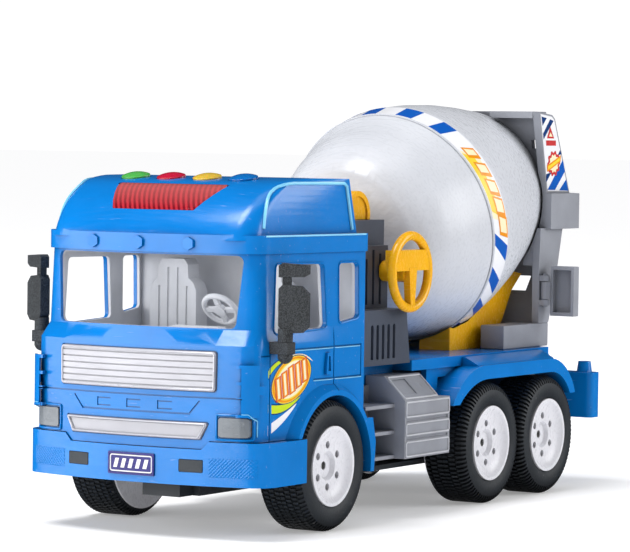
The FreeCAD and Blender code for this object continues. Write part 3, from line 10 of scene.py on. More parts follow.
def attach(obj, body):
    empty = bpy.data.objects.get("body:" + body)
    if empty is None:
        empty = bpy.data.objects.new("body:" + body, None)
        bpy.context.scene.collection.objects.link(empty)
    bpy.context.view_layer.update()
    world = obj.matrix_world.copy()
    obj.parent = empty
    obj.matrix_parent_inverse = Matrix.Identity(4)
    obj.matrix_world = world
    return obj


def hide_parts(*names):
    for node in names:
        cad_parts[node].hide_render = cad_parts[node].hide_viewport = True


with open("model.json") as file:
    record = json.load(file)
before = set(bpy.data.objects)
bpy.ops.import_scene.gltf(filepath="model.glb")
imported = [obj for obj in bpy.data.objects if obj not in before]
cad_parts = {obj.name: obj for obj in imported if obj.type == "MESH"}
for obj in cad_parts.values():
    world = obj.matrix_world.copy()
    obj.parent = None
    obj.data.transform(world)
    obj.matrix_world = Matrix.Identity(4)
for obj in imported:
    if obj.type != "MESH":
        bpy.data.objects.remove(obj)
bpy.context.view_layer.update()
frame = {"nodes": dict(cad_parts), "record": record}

MM = 0.001
NODES = frame["nodes"]


# ---- shader helpers ---------------------------------------------------------------------------
def shader(tree, kind, inputs=None, **settings):
    """One shader node with its settings and input values or links."""
    made = tree.nodes.new(kind)
    for key, value in settings.items():
        setattr(made, key, value)
    for key, value in (inputs or {}).items():
        if isinstance(value, bpy.types.NodeSocket):
            tree.links.new(value, made.inputs[key])
        else:
            made.inputs[key].default_value = value
    return made


def ramp(tree, value, stops):
    """Colour ramp from (position, grey or colour) stops."""
    made = shader(tree, "ShaderNodeValToRGB", {"Fac": value})
    elements = made.color_ramp.elements
    while len(elements) < len(stops):
        elements.new(0.5)
    for element, (position, colour) in zip(elements, stops):
        element.position = position
        element.color = colour if isinstance(colour, tuple) else (colour, colour, colour, 1.0)
    return made.outputs["Color"]


def rgba(colour, gain=1.0):
    """Linear colour from an sRGB triple in 0-255, scaled by gain."""
    def linear(c):
        c = c / 255
        return c / 12.92 if c <= 0.04045 else ((c + 0.055) / 1.055) ** 2.4
    return tuple(min(1.0, linear(c) * gain) for c in colour) + (1.0,)


MOTTLE_GAIN = 2.2


def tinted(tree, tone, shade):
    """A colour multiplied by a shade."""
    return shader(tree, "ShaderNodeMix", {0: 1.0, 6: tone, 7: shade}, data_type="RGBA",
                  blend_type="MULTIPLY").outputs[2]


def plastic(name, colour, rough=0.3, grain=0.04, grain_scale=2200.0, mottle=0.05, wear=0.25, coat=0.0,
            metal=0.0, soft=0.0, nook_shade=0.6, speckle=0.0):
    """Moulded plastic: mottled colour, painted shade in nooks, fine grain, and pale scuffs with a duller
    gloss.
    """
    made = bpy.data.materials.new(name)
    made.use_nodes = True
    tree = made.node_tree
    tree.nodes.clear()
    place = shader(tree, "ShaderNodeTexCoord").outputs["Object"]
    cloud = shader(tree, "ShaderNodeTexNoise", {"Vector": place, "Scale": 45.0, "Detail": 4.0})
    fine = shader(tree, "ShaderNodeTexNoise", {"Vector": place, "Scale": grain_scale, "Detail": 3.0})
    streak_place = shader(tree, "ShaderNodeMapping", {"Vector": place, "Scale": (60.0, 900.0, 500.0),
                                                      "Rotation": (0.4, 0.2, 0.6)})
    streak = shader(tree, "ShaderNodeTexNoise", {"Vector": streak_place.outputs[0], "Scale": 1.0,
                                                 "Detail": 2.0})
    base = rgba(colour)
    darker = rgba(colour, 1 - MOTTLE_GAIN * mottle)
    lighter = rgba(colour, 1 + MOTTLE_GAIN * mottle)
    tone = ramp(tree, cloud.outputs["Fac"], [(0.3, darker), (0.5, base), (0.7, lighter)])
    # painted shade: ambient occlusion darkens the colour in nooks, creases and between parts
    nook = shader(tree, "ShaderNodeAmbientOcclusion", {"Distance": 0.014}, samples=4)
    shade = ramp(tree, nook.outputs["AO"], [(0.2, nook_shade), (0.85, 1.0)])
    tone = tinted(tree, tone, shade)
    if speckle:
        flecks = ramp(tree, fine.outputs["Fac"], [(0.42, 1 - speckle), (0.6, 1.0)])
        tone = tinted(tree, tone, flecks)
    worn = ramp(tree, streak.outputs["Fac"], [(0.7, 0.0), (0.8, wear)])
    pale = tuple(0.6 * c + 0.4 for c in base[:3]) + (1.0,)
    mixed = shader(tree, "ShaderNodeMix", {0: worn, 6: tone, 7: pale}, data_type="RGBA")
    gloss = ramp(tree, streak.outputs["Fac"],
                 [(0.42, max(rough - 0.03, 0.02)), (0.62, rough + 0.03), (0.72, rough + 0.05)])
    bump = shader(tree, "ShaderNodeBump", {"Height": fine.outputs["Fac"], "Strength": grain,
                                           "Distance": 0.0006})
    surface = shader(tree, "ShaderNodeBsdfPrincipled", {
        "Base Color": mixed.outputs[2], "Roughness": gloss, "Normal": bump.outputs[0], "Metallic": metal,
        "IOR": 1.5, "Coat Weight": coat, "Coat Roughness": 0.08, "Subsurface Weight": soft,
        "Subsurface Scale": 0.004,
    })
    output = shader(tree, "ShaderNodeOutputMaterial")
    tree.links.new(surface.outputs[0], output.inputs[0])
    return made


LENS_BOTTOM = 0.1525            # heights, in metres, between which a painted highlight makes the lens paler
LENS_TOP = 0.1635


def lens_material():
    """Red lens plastic with diagonal prisms, and a painted highlight that makes it paler towards the top."""
    made = plastic("lens_red", (190, 36, 50), rough=0.14, grain=0.02)
    tree = made.node_tree
    surface = next(item for item in tree.nodes if item.type == "BSDF_PRINCIPLED")
    place = shader(tree, "ShaderNodeTexCoord").outputs["Object"]
    turned = shader(tree, "ShaderNodeMapping", {"Vector": place, "Rotation": (0.0, math.radians(40), 0.0)})
    prisms = shader(tree, "ShaderNodeTexWave", {"Vector": turned.outputs[0], "Scale": 150.0,
                                                "Distortion": 0.6, "Detail": 1.0})
    lines = ramp(tree, prisms.outputs["Fac"], [(0.2, rgba((120, 12, 30))), (0.8, rgba((188, 44, 56)))])
    # painted highlight: the lens is mixed towards pale pink higher up
    height = shader(tree, "ShaderNodeSeparateXYZ", {"Vector": place}).outputs["Z"]
    share = shader(tree, "ShaderNodeMapRange", {0: height, 1: LENS_BOTTOM, 2: LENS_TOP, 3: 0.0,
                                                4: 0.55})
    tone = shader(tree, "ShaderNodeMix", {0: share.outputs[0], 6: lines, 7: rgba((215, 120, 118))},
                  data_type="RGBA")
    tree.links.new(tone.outputs[2], surface.inputs["Base Color"])
    return made


MATERIALS = {
    "blue": plastic("blue_plastic", (0, 122, 206), rough=0.22, mottle=0.03, wear=0.3, nook_shade=0.4),
    # painted highlight: a paler blue for beads that stand in for bright edge highlights on the cab
    "highlight_blue": plastic("highlight_blue_edge", (130, 208, 245), rough=0.2, mottle=0.02),
    "dark_grey": plastic("charcoal_plastic", (52, 58, 64), rough=0.5, grain=0.25, grain_scale=1500.0),
    "mirror_grey": plastic("grained_charcoal", (76, 81, 86), rough=0.6, grain=0.9, grain_scale=2000.0,
                           speckle=0.75),
    "tower_grey": plastic("slate_plastic", (74, 81, 95), rough=0.32, grain=0.1),
    "light_grey": plastic("pewter_plastic", (150, 153, 162), rough=0.38, grain=0.12),
    "pale_grey": plastic("pale_grey_edge", (196, 198, 205), rough=0.35, grain=0.08),
    "liner": plastic("liner_grey", (226, 228, 233), rough=0.45, grain=0.1, nook_shade=0.7),
    "silver": plastic("silver_paint", (184, 184, 191), rough=0.34, metal=0.3, mottle=0.02),
    "bright_silver": plastic("bright_silver", (212, 212, 220), rough=0.25, metal=0.2, mottle=0.02),
    "lamp_grey": plastic("lamp_grey", (122, 128, 134), rough=0.25, mottle=0.08),
    "plate_navy": plastic("plate_navy", (30, 22, 120), rough=0.3),
    "lens_red": lens_material(),
    "green": plastic("key_green", (84, 180, 84), rough=0.16, soft=0.3),
    "red": plastic("key_red", (190, 26, 60), rough=0.16, soft=0.3),
    "yellow_key": plastic("key_yellow", (226, 190, 70), rough=0.16, soft=0.3),
    "blue_key": plastic("key_blue", (10, 110, 190), rough=0.16, soft=0.3),
    "silicone": plastic("silicone", (170, 170, 168), rough=0.7),
    "board_green": plastic("board_green", (20, 92, 52), rough=0.4),
    "steel": plastic("steel", (190, 190, 188), rough=0.25, metal=1.0),
    "cell": plastic("cell_sleeve", (52, 52, 58), rough=0.3, coat=0.5),
    "drum_white": plastic("drum_white", (210, 213, 220), rough=0.3, grain=0.05, mottle=0.015),
    "sticker": plastic("film_white", (244, 245, 250), rough=0.2, mottle=0.01),
    "yellow": plastic("yellow_plastic", (250, 184, 20), rough=0.26, soft=0.1, nook_shade=0.55),
    "rubber": plastic("tyre_rubber", (40, 46, 53), rough=0.55, grain=0.3, grain_scale=1400.0, wear=0.3,
                      nook_shade=0.25),
    "rim_white": plastic("rim_white", (232, 232, 238), rough=0.3, mottle=0.02),
    "gear_white": plastic("gear_white", (232, 230, 220), rough=0.35),
    "film_blue": plastic("film_blue", (10, 92, 190), rough=0.22, mottle=0.02),
    "film_navy": plastic("film_navy", (22, 60, 120), rough=0.22, mottle=0.02),
    "film_lime": plastic("film_lime", (205, 228, 40), rough=0.22, mottle=0.04),
    "film_orange": plastic("film_orange", (240, 150, 22), rough=0.22, mottle=0.06),
    "film_yellow": plastic("film_yellow", (250, 216, 60), rough=0.22, mottle=0.05),
    "film_cream": plastic("film_cream", (252, 240, 200), rough=0.22, mottle=0.02),
    "film_red": plastic("film_red", (205, 60, 62), rough=0.22, mottle=0.05),
    "film_white": plastic("film_plain", (248, 248, 252), rough=0.22, mottle=0.01),
}


# ---- CAD nodes --------------------------------------------------------------------------------
SLOT_OF = {row["node"]: row["material_slot"] for row in frame["record"]["subparts"]}
LOOK_OF = {"cab_interior": "liner", "seats": "liner", "steering_wheel": "liner", "mirror_left": "mirror_grey",
           "mirror_right": "mirror_grey", "mirror_brackets": "mirror_grey"}
BEVELS = {"cab_shell": 0.5, "cab_roof": 0.5, "front_bumper": 0.5, "rear_body": 0.6, "rear_bumper": 0.8,
          "tower_base": 0.5, "tower_housing": 0.5, "rear_base": 0.6, "rear_plate": 0.5, "drum_cradle": 0.6,
          "side_box_left": 0.5, "side_box_right": 0.5, "seats": 0.7, "chassis": 0.4, "crank_wheel": 0.5}
DEFAULT_BEVEL = 0.3
WELD_GAP = 0.000005
FLAT_ANGLE = math.radians(0.4)
BEVEL_ANGLE = math.radians(34)


def finish_cad_node(name, item):
    """Gives a CAD node its material, welded corners and rounded edges."""
    item.data.materials.clear()
    item.data.materials.append(MATERIALS[LOOK_OF.get(name, SLOT_OF[name])])
    for attribute in [a for a in item.data.attributes if a.name == "custom_normal"]:
        item.data.attributes.remove(attribute)
    for polygon in item.data.polygons:
        polygon.use_smooth = True
    weld = item.modifiers.new("weld", "WELD")
    weld.merge_threshold = WELD_GAP
    flat = item.modifiers.new("flat", "DECIMATE")
    flat.decimate_type = "DISSOLVE"
    flat.angle_limit = FLAT_ANGLE
    bevel = item.modifiers.new("bevel", "BEVEL")
    bevel.width = BEVELS.get(name, DEFAULT_BEVEL) * MM
    bevel.segments = 2
    bevel.limit_method = "ANGLE"
    bevel.angle_limit = BEVEL_ANGLE
    bevel.harden_normals = True
    bevel.use_clamp_overlap = True


# ---- mesh helpers -----------------------------------------------------------------------------
LEFT = 1
RIGHT = -1
SIDES = {"left": LEFT, "right": RIGHT}
SHARP_ANGLE = math.radians(38)


def piece(name, points, faces, look, body="truck", stands_for=None):
    """New closed mesh, in millimetres, that rides on a body of the frame."""
    mesh = bpy.data.meshes.new(name)
    mesh.from_pydata([Vector(point) * MM for point in points], [], faces)
    shape = bmesh.new()
    shape.from_mesh(mesh)
    bmesh.ops.recalc_face_normals(shape, faces=shape.faces)
    shape.to_mesh(mesh)
    shape.free()
    mesh.materials.append(MATERIALS[look])
    for polygon in mesh.polygons:
        polygon.use_smooth = True
    mesh.set_sharp_from_angle(angle=SHARP_ANGLE)
    item = bpy.data.objects.new(name, mesh)
    bpy.context.scene.collection.objects.link(item)
    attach(item, body)
    if stands_for:
        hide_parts(stands_for)
    return item


def sheet(name, place, columns, rows, look, body="truck", low=-0.05, high=0.06, relief=None):
    """Closed thin sheet; place(a, b) gives a point and the way out for a and b from 0 to 1."""
    top = []
    bottom = []
    for k in range(rows + 1):
        for i in range(columns + 1):
            a = i / columns
            b = k / rows
            spot, out = place(a, b)
            rise = relief(a, b) if relief else 0.0
            top.append(spot + out * (high + rise))
            bottom.append(spot + out * low)
    wide = columns + 1
    shift = len(top)
    faces = []
    for k in range(rows):
        for i in range(columns):
            corner = k * wide + i
            quad = (corner, corner + 1, corner + 1 + wide, corner + wide)
            faces.append(quad)
            faces.append(tuple(shift + v for v in reversed(quad)))
    rim = list(range(columns)) + [k * wide + columns for k in range(rows)]
    rim += [rows * wide + i for i in range(columns, 0, -1)] + [k * wide for k in range(rows, 0, -1)]
    for start, end in zip(rim, rim[1:] + rim[:1]):
        faces.append((start, end, shift + end, shift + start))
    return piece(name, top + bottom, faces, look, body)


def plate(name, outline, place, look, body="truck", low=-0.05, high=0.06):
    """Thin flat patch with an outline of (a, b) points."""
    spots = [place(a, b) for a, b in outline]
    count = len(spots)
    points = [spot + out * high for spot, out in spots] + [spot + out * low for spot, out in spots]
    faces = [tuple(range(count)), tuple(range(2 * count - 1, count - 1, -1))]
    faces += [(i, (i + 1) % count, count + (i + 1) % count, count + i) for i in range(count)]
    return piece(name, points, faces, look, body)


def bead(name, path, radius, look, body="truck", closed=False, sides=8):
    """Round bead along a path of points."""
    path = [Vector(point) for point in path]
    count = len(path)
    points = []
    side = None
    for i, spot in enumerate(path):
        before = path[i - 1] if i > 0 or closed else spot
        after = path[(i + 1) % count] if i < count - 1 or closed else spot
        ahead = (after - before).normalized()
        if side is None:
            side = ahead.orthogonal()
        side = (side - ahead * side.dot(ahead)).normalized()
        up = ahead.cross(side)
        for k in range(sides):
            angle = 2 * math.pi * k / sides
            points.append(spot + (side * math.cos(angle) + up * math.sin(angle)) * radius)
    faces = []
    for i in range(count if closed else count - 1):
        here = i * sides
        there = (i + 1) % count * sides
        for k in range(sides):
            faces.append((here + k, here + (k + 1) % sides, there + (k + 1) % sides, there + k))
    if not closed:
        faces.append(tuple(range(sides - 1, -1, -1)))
        faces.append(tuple((count - 1) * sides + k for k in range(sides)))
    return piece(name, points, faces, look, body)


def surface_point(node, start, direction):
    """Where a ray meets a CAD node, with the way back along the ray."""
    direction = Vector(direction).normalized()
    hit, spot, _, _ = NODES[node].ray_cast(Vector(start) * MM, direction)
    if not hit:
        raise ValueError(f"no surface of {node} from {tuple(start)}")
    return spot / MM, -direction


def on_side(node, side):
    """Place function for (y, z) on the outside of a node's flank."""
    return lambda y, z: surface_point(node, (side * 100.0, y, z), (-side, 0, 0))


def on_front(node):
    """Place function for (x, z) on the front of a node."""
    return lambda x, z: surface_point(node, (x, -260.0, z), (0, 1, 0))


def rounded(corners, radius, steps=4):
    """Closed outline through corners with rounded bends."""
    outline = []
    count = len(corners)
    for i in range(count):
        here = Vector(corners[i])
        back = (Vector(corners[i - 1]) - here).normalized() * radius
        ahead = (Vector(corners[(i + 1) % count]) - here).normalized() * radius
        for k in range(steps + 1):
            t = k / steps
            outline.append(tuple(here + back * (1 - t) ** 2 + ahead * t ** 2))
    return outline


def filled_in(outline, gap, closed=True):
    """The outline with extra points so that no two are further apart than gap."""
    result = []
    ends = outline[1:] + outline[:1] if closed else outline[1:]
    for start, end in zip(outline, ends):
        start = Vector(start)
        end = Vector(end)
        steps = max(1, math.ceil((end - start).length / gap))
        result += [tuple(start.lerp(end, k / steps)) for k in range(steps)]
    return result if closed else result + [tuple(outline[-1])]


LINE_STEP = 2.0


def frame_line(name, corners, place, radius, look, corner=1.0, closed=True, sink=0.3):
    """Raised line through (a, b) corners on a surface; corner is how far each bend reaches."""
    outline = rounded(corners, corner) if closed else list(corners)
    path = []
    for a, b in filled_in(outline, LINE_STEP, closed):
        spot, out = place(a, b)
        path.append(spot + out * radius * (1 - 2 * sink))
    return bead(name, path, radius, look, closed=closed)


def bend(start, pull, end, t):
    """Point of a quadratic curve in 2-D."""
    return tuple(Vector(start) * (1 - t) ** 2 + Vector(pull) * 2 * t * (1 - t) + Vector(end) * t ** 2)


def swoosh(name, upper, lower, place, look, low, high):
    """Tapering printed stroke between two curves."""
    def spot(a, b):
        top = Vector(bend(*upper, a))
        bottom = Vector(bend(*lower, a))
        return place(*bottom.lerp(top, b))
    return sheet(name, spot, 16, 1, look, low=low, high=high)


# ---- printed films ----------------------------------------------------------------------------
DRUM_TILT = math.radians(12.5)
DRUM_CENTRE = Vector((0, 54.7, 139.1))
DRUM_AXIS = Vector((0, math.cos(DRUM_TILT), math.sin(DRUM_TILT)))
DRUM_UP = Vector((0, -math.sin(DRUM_TILT), math.cos(DRUM_TILT)))
BAND_START = 1.0                # the band along the drum's axis, and its radius at either edge
BAND_WIDTH = 13.4
BAND_FRONT_R = 60.79
BAND_BACK_R = 61.326
BAND_SLOPE = (BAND_BACK_R - BAND_FRONT_R) / BAND_WIDTH


def on_band(s, degrees):
    """Point and way out on the drum's printed band."""
    angle = math.radians(degrees)
    out = Vector((1, 0, 0)) * math.cos(angle) + DRUM_UP * math.sin(angle)
    radius = BAND_FRONT_R + BAND_SLOPE * (s - BAND_START)
    return DRUM_CENTRE + DRUM_AXIS * s + out * radius, out


def band_patch(name, front_edge, back_edge, look, s0=1.2, s1=14.2, low=-0.03, high=0.05):
    """Four-sided print on the band between its front and back edges, given in degrees."""
    def spot(a, b):
        start = front_edge[0] + (back_edge[0] - front_edge[0]) * a
        stop = front_edge[1] + (back_edge[1] - front_edge[1]) * a
        return on_band(s0 + (s1 - s0) * a, start + (stop - start) * b)
    return sheet(name, spot, 4, 10, look, "drum", low, high)


# angles of each lozenge's ends: on the band's front edge, then on its back edge
BAND_LOZENGES = [
    ((101.5, 93.0), (103.5, 94.0)), ((82.0, 73.3), (82.5, 72.7)), ((63.2, 55.8), (61.3, 53.3)),
    ((-1.5, -7.5), (-10.5, -18.5)), ((-18.5, -26.0), (-29.0, -37.5)), ((-36.5, -44.0), (-46.0, -54.0)),
    ((-54.5, -62.0), (-63.5, -71.5)),
]


def print_band():
    """Blue lozenges and two flame-coloured emblems round the drum."""
    for half in (0, 180):
        for k, (front_edge, back_edge) in enumerate(BAND_LOZENGES):
            band_patch(f"lozenge_{half}_{k}", [d + half for d in front_edge], [d + half for d in back_edge],
                       "film_blue")
        band_patch(f"glow_{half}", (43.0 + half, 6.0 + half), (38.0 + half, 2.0 + half), "film_cream",
                   1.4, 11.5)
        band_patch(f"flame_{half}", (41.5 + half, 9.5 + half), (36.5 + half, 5.5 + half), "film_yellow",
                   1.6, 8.0, 0.05, 0.09)
        for k in range(5):
            start = 44.5 - 9.4 * k + half
            spread = 6.6 + 0.9 * k
            band_patch(f"bar_{half}_{k}", (start, start - spread), (start - 3.2, start - 3.2 - spread),
                       "film_orange", 4.2 + 0.5 * k, 12.6 + 0.35 * k, 0.04, 0.12)
            band_patch(f"bar_core_{half}_{k}", (start - 1.3, start - spread + 1.3),
                       (start - 4.0, start - 2.4 - spread + 1.6), "film_cream",
                       5.2 + 0.5 * k, 11.6 + 0.35 * k, 0.1, 0.15)


OVAL_CENTRE = (-144.7, 73.7)
OVAL_HALF = (17.4, 10.2)
OVAL_TILT = math.radians(20)
OVAL_POINTS = 64
# size of each printed ring of the oval, from the outline inwards
OVAL_RINGS = [(1.0, "film_navy"), (0.965, "film_yellow"), (0.93, "film_orange"), (0.84, "film_yellow"),
              (0.77, "film_cream")]
# half width, look and height above the door of the three layers of each slanted mark
MARK_LAYERS = [(0.155, "film_red", 0.15), (0.115, "film_orange", 0.17), (0.05, "film_cream", 0.19)]
MARK_HALF = 0.155
MARK_SLANT = 0.12
MARK_PITCH = 0.33
DOOR_STROKES = [
    ("crescent", "film_lime", [(-163.6, 78.4), (-158.5, 83.2), (-147.5, 84.0)],
     [(-163.6, 75.0), (-159.5, 80.4), (-147.5, 83.6)]),
    ("arc", "film_cream", [(-144.5, 84.9), (-133.5, 86.6), (-127.0, 81.6)],
     [(-144.5, 84.5), (-134.5, 85.2), (-127.0, 81.4)]),
    ("swoosh", "film_lime", [(-163.6, 63.1), (-151.0, 60.6), (-137.3, 65.4)],
     [(-163.6, 59.2), (-150.5, 56.6), (-137.3, 65.0)]),
    ("tail", "film_white", [(-163.6, 53.3), (-150.0, 57.8), (-140.2, 62.4)],
     [(-163.6, 48.6), (-150.5, 53.0), (-140.2, 62.0)]),
]
STROKE_EDGE = 0.55
DOOR_SKIN = 0.17                # thickness of the door's plain film, which the prints lie on
PANEL_SKIN = 0.15               # the same on the rear panels


def oval_point(along, across):
    """(y, z) inside the door's oval print; along and across run from -1 to 1 on its axes."""
    a = OVAL_HALF[0] * along
    b = OVAL_HALF[1] * across
    return (OVAL_CENTRE[0] + a * math.cos(OVAL_TILT) - b * math.sin(OVAL_TILT),
            OVAL_CENTRE[1] + a * math.sin(OVAL_TILT) + b * math.cos(OVAL_TILT))


def print_mark(label, k, place):
    """One slanted mark inside the door's oval, in three layers; k counts from its middle."""
    tall = 0.62 - 0.05 * abs(k)
    for width, look, rise in MARK_LAYERS:
        high = tall - (MARK_HALF - width) * 0.8
        lean = MARK_SLANT * high
        bar = [(MARK_PITCH * k - width - lean, -high), (MARK_PITCH * k + width - lean, -high),
               (MARK_PITCH * k + width + lean, high), (MARK_PITCH * k - width + lean, high)]
        plate(f"mark_{label}_{k + 2}_{look}", [oval_point(a, b) for a, b in bar], place, look,
              low=DOOR_SKIN + 0.05, high=DOOR_SKIN + rise)


def print_door(label, side):
    """Oval emblem with swooshes on one door."""
    place = on_side("cab_shell", side)
    turns = [2 * math.pi * i / OVAL_POINTS for i in range(OVAL_POINTS)]
    for k, (scale, look) in enumerate(OVAL_RINGS):
        ring = [oval_point(scale * math.cos(t), scale * math.sin(t)) for t in turns]
        plate(f"oval_{label}_{k}", ring, place, look, low=DOOR_SKIN + 0.02 * k,
              high=DOOR_SKIN + 0.04 + 0.02 * k)
    for k in range(-2, 3):
        print_mark(label, k, place)
    for name, look, upper, lower in DOOR_STROKES:
        swoosh(f"{name}_{label}", upper, lower, place, look, -0.05, 0.09)
        if look == "film_lime":
            swoosh(f"{name}_shade_{label}", [(y, z + STROKE_EDGE) for y, z in upper],
                   [(y, z - STROKE_EDGE) for y, z in lower], place, "film_navy", -0.05, 0.05)


COG_SPOT = (141.4, 173.6)
COG_STEPS = 40                  # four points to each of its ten teeth


def cog_outline(radius):
    """Outline of a small printed cog."""
    outline = []
    for k in range(COG_STEPS):
        angle = 2 * math.pi * k / COG_STEPS
        reach = radius if k % 4 < 2 else radius * 0.84
        outline.append((COG_SPOT[0] + 1.08 * reach * math.cos(angle), COG_SPOT[1] + reach * math.sin(angle)))
    return outline


# prints of one rear panel, from the lowest layer to the highest
PANEL_PRINTS = [
    ("stripe_a", "film_navy", [(126.3, 198.6), (132.4, 197.8), (127.8, 193.6)]),
    ("stripe_b", "film_navy", [(136.4, 197.2), (140.4, 196.4), (129.2, 186.4), (128.4, 189.4)]),
    ("cone", "film_red", [(136.6, 193.4), (133.0, 187.0), (141.4, 187.0)]),
    ("cone_core", "film_cream", [(137.0, 190.2), (135.4, 188.0), (139.6, 188.0)]),
    ("cone_base", "film_red", [(131.9, 185.9), (143.4, 185.9), (143.6, 183.1), (132.3, 183.1)]),
    ("stripe_c", "film_navy", [(148.6, 180.9), (150.3, 178.6), (146.1, 178.0)]),
    ("stripe_d", "film_blue", [(152.0, 175.4), (154.6, 169.3), (143.3, 159.4), (134.8, 159.6)]),
    ("stripe_e", "film_blue", [(156.3, 165.0), (158.9, 159.0), (148.4, 159.2)]),
    ("stripe_f", "film_navy", [(133.0, 167.9), (138.9, 168.9), (133.2, 163.8)]),
    ("cog", "film_red", cog_outline(6.9)),
    ("cog_core", "film_cream", cog_outline(5.0)),
    ("sash", "film_orange", [(149.6, 178.0), (149.2, 174.6), (133.9, 169.1), (133.5, 172.6)]),
    ("sash_core", "film_yellow", [(148.2, 176.8), (148.0, 175.0), (135.0, 170.3), (134.8, 172.0)]),
]


def print_panel(label, side):
    """Stripes, cone and cog printed on one rear panel."""
    place = on_side(f"rear_side_{label}", side)
    for k, (name, look, outline) in enumerate(PANEL_PRINTS):
        rise = PANEL_SKIN + 0.03 + 0.012 * k
        plate(f"{name}_{label}", outline, place, look, low=PANEL_SKIN - 0.05, high=rise)


def print_plate():
    """White border and slanted bars on the number plate."""
    place = on_front("number_plate")
    frame_line("plate_line", [(-11.5, 30.0), (11.5, 30.0), (11.5, 37.5), (-11.5, 37.5)], place, 0.32,
               "film_white", sink=0.45)
    for k in range(5):
        x = -8.2 + 4.1 * k
        bar = [(x - 1.6, 31.6), (x + 0.4, 31.6), (x + 1.6, 35.9), (x - 0.4, 35.9)]
        plate(f"plate_bar_{k}", bar, place, "film_white", high=0.16)


# ---- front trim -------------------------------------------------------------------------------
def saw(value):
    """Triangle wave from 0 to 1."""
    return abs((value % 1.0) * 2 - 1)


def hatched(name, place, width, height, pitch, depth, look, step, low=-0.1, high=0.0):
    """Sheet with crossed diagonal ridges; place takes shares from 0 to 1."""
    def relief(a, b):
        x = a * width
        z = b * height
        return depth * max(saw((x + z) / pitch), saw((x - z) / pitch)) ** 2
    return sheet(name, place, math.ceil(width / step), math.ceil(height / step), look, low=low, high=high,
                 relief=relief)


def lamp_details(label, side):
    """Hatched bumper patch, the bezel of one headlamp, and a pale bead painted as its glint."""
    bumper = on_front("front_bumper")
    shell = on_front("cab_shell")
    hatched(f"tread_patch_{label}", lambda a, b: bumper(side * (40.4 + 22.6 * a), 29.6 + 8.5 * b),
            22.6, 8.5, 1.7, 0.3, "blue", 0.28, low=-0.3)
    corners = [(side * x, z) for x, z in ((43.6, 46.95), (60.2, 46.95), (60.2, 58.3), (43.6, 58.3))]
    frame_line(f"lamp_bezel_{label}", corners, shell, 0.55, "blue", sink=0.2)
    # painted highlight: a pale blue bead along the bezel's outer corner
    glint = [(side * x, z) for x, z in ((57.0, 58.9), (59.6, 58.9), (60.9, 57.6), (60.9, 48.5))]
    frame_line(f"lamp_glint_{label}", glint, shell, 0.3, "highlight_blue", closed=False, sink=0.2)


def grille_details():
    """Rims of both grilles, and the lower one's mesh."""
    frame_line("grille_rim", [(-42.3, 69.6), (42.3, 69.6), (42.5, 86.4), (-42.5, 86.4)],
               on_front("front_grille"), 0.4, "bright_silver", corner=1.4)
    lower = on_front("lower_grille")
    frame_line("lower_rim", [(-34.7, 47.25), (34.7, 47.25), (38.4, 53.8), (-38.4, 53.8)], lower, 0.35,
               "bright_silver", corner=1.0)

    def mesh_spot(a, b):
        half = 34.0 + 3.0 * b
        return lower(half * (2 * a - 1), 48.0 + 5.0 * b)
    hatched("grille_mesh", mesh_spot, 71.0, 5.0, 1.1, 0.22, "silver", 0.275)


def lens_details():
    """Prisms and dark outline of the roof lens."""
    lens = on_front("roof_lens")

    def lens_spot(a, b):
        half = 22.2 + 7.4 * b
        return lens(half * (2 * a - 1), 152.0 + 10.4 * b)
    hatched("lens_facets", lens_spot, 58.0, 15.0, 1.5, 0.14, "lens_red", 0.33, low=-0.2, high=0.02)
    frame_line("lens_outline", [(-22.4, 151.5), (22.4, 151.5), (30.9, 162.9), (-30.9, 162.9)],
               on_front("cab_roof"), 0.3, "film_navy", corner=0.6, sink=0.2)


DOOR_WINDOW = [(-157.4, 94.7), (-113.8, 96.1), (-116.5, 127.1), (-155.4, 127.6)]
REAR_WINDOW = [(-104.2, 97.8), (-86.8, 100.1), (-87.6, 127.1), (-104.6, 127.1)]


def cab_side_details(label, side):
    """Raised lines on one flank of cab and roof; the pale blue ones are painted highlights."""
    shell = on_side("cab_shell", side)
    roof = on_side("cab_roof", side)
    for window, corners in (("door", DOOR_WINDOW), ("rear", REAR_WINDOW)):
        frame_line(f"{window}_window_rim_{label}", corners, shell, 0.4, "blue", corner=2.8, sink=0.35)
    # painted highlights: pale blue beads just below the door's engraved lines
    for k, (y0, y1, z) in enumerate(((-142.0, -84.8, 86.85), (-126.0, -84.8, 72.05))):
        frame_line(f"panel_highlight_line_{label}_{k}", [(y0, z), (y1, z)], shell, 0.25, "highlight_blue", closed=False)
    # the roof border is a raised strip, coloured pale blue as a painted highlight; so is the visor line
    curve = [bend((-161.5, 143.6), (-157.8, 163.6), (-136.0, 164.3), k / 12) for k in range(13)]
    border = curve + [(-100.5, 164.3), (-98.6, 163.0), (-95.2, 150.0), (-93.2, 142.4)]
    frame_line(f"roof_border_{label}", border, roof, 0.8, "highlight_blue", closed=False, sink=0.3)
    frame_line(f"visor_highlight_line_{label}", [(-164.0, 140.1), (-84.5, 140.1)], roof, 0.45, "highlight_blue",
               closed=False)


def box_details(label, side):
    """Frames round the panels and the slanting lid of one side box."""
    node = f"side_box_{label}"
    box = on_side(node, side)
    for k, (z0, z1) in enumerate(((30.6, 37.5), (40.9, 46.5), (49.9, 57.0))):
        corners = [(-43.9, z0), (-1.2, z0), (-1.2, z1), (-43.9, z1)]
        frame_line(f"box_frame_{label}_{k}", corners, box, 0.5, "pale_grey", sink=0.35)

    def slant(y, t):
        inward = Vector((-side * 11.5, 0, -12.0))
        start = Vector((side * (67.0 - 12.0 * t), y, 58.0 + 11.5 * t)) - inward * 3
        return surface_point(node, start, inward)
    frame_line(f"box_slant_{label}", [(-43.9, 0.07), (-11.8, 0.07), (-11.8, 0.92), (-43.9, 0.92)], slant,
               0.5, "pale_grey", corner=0.3, sink=0.35)


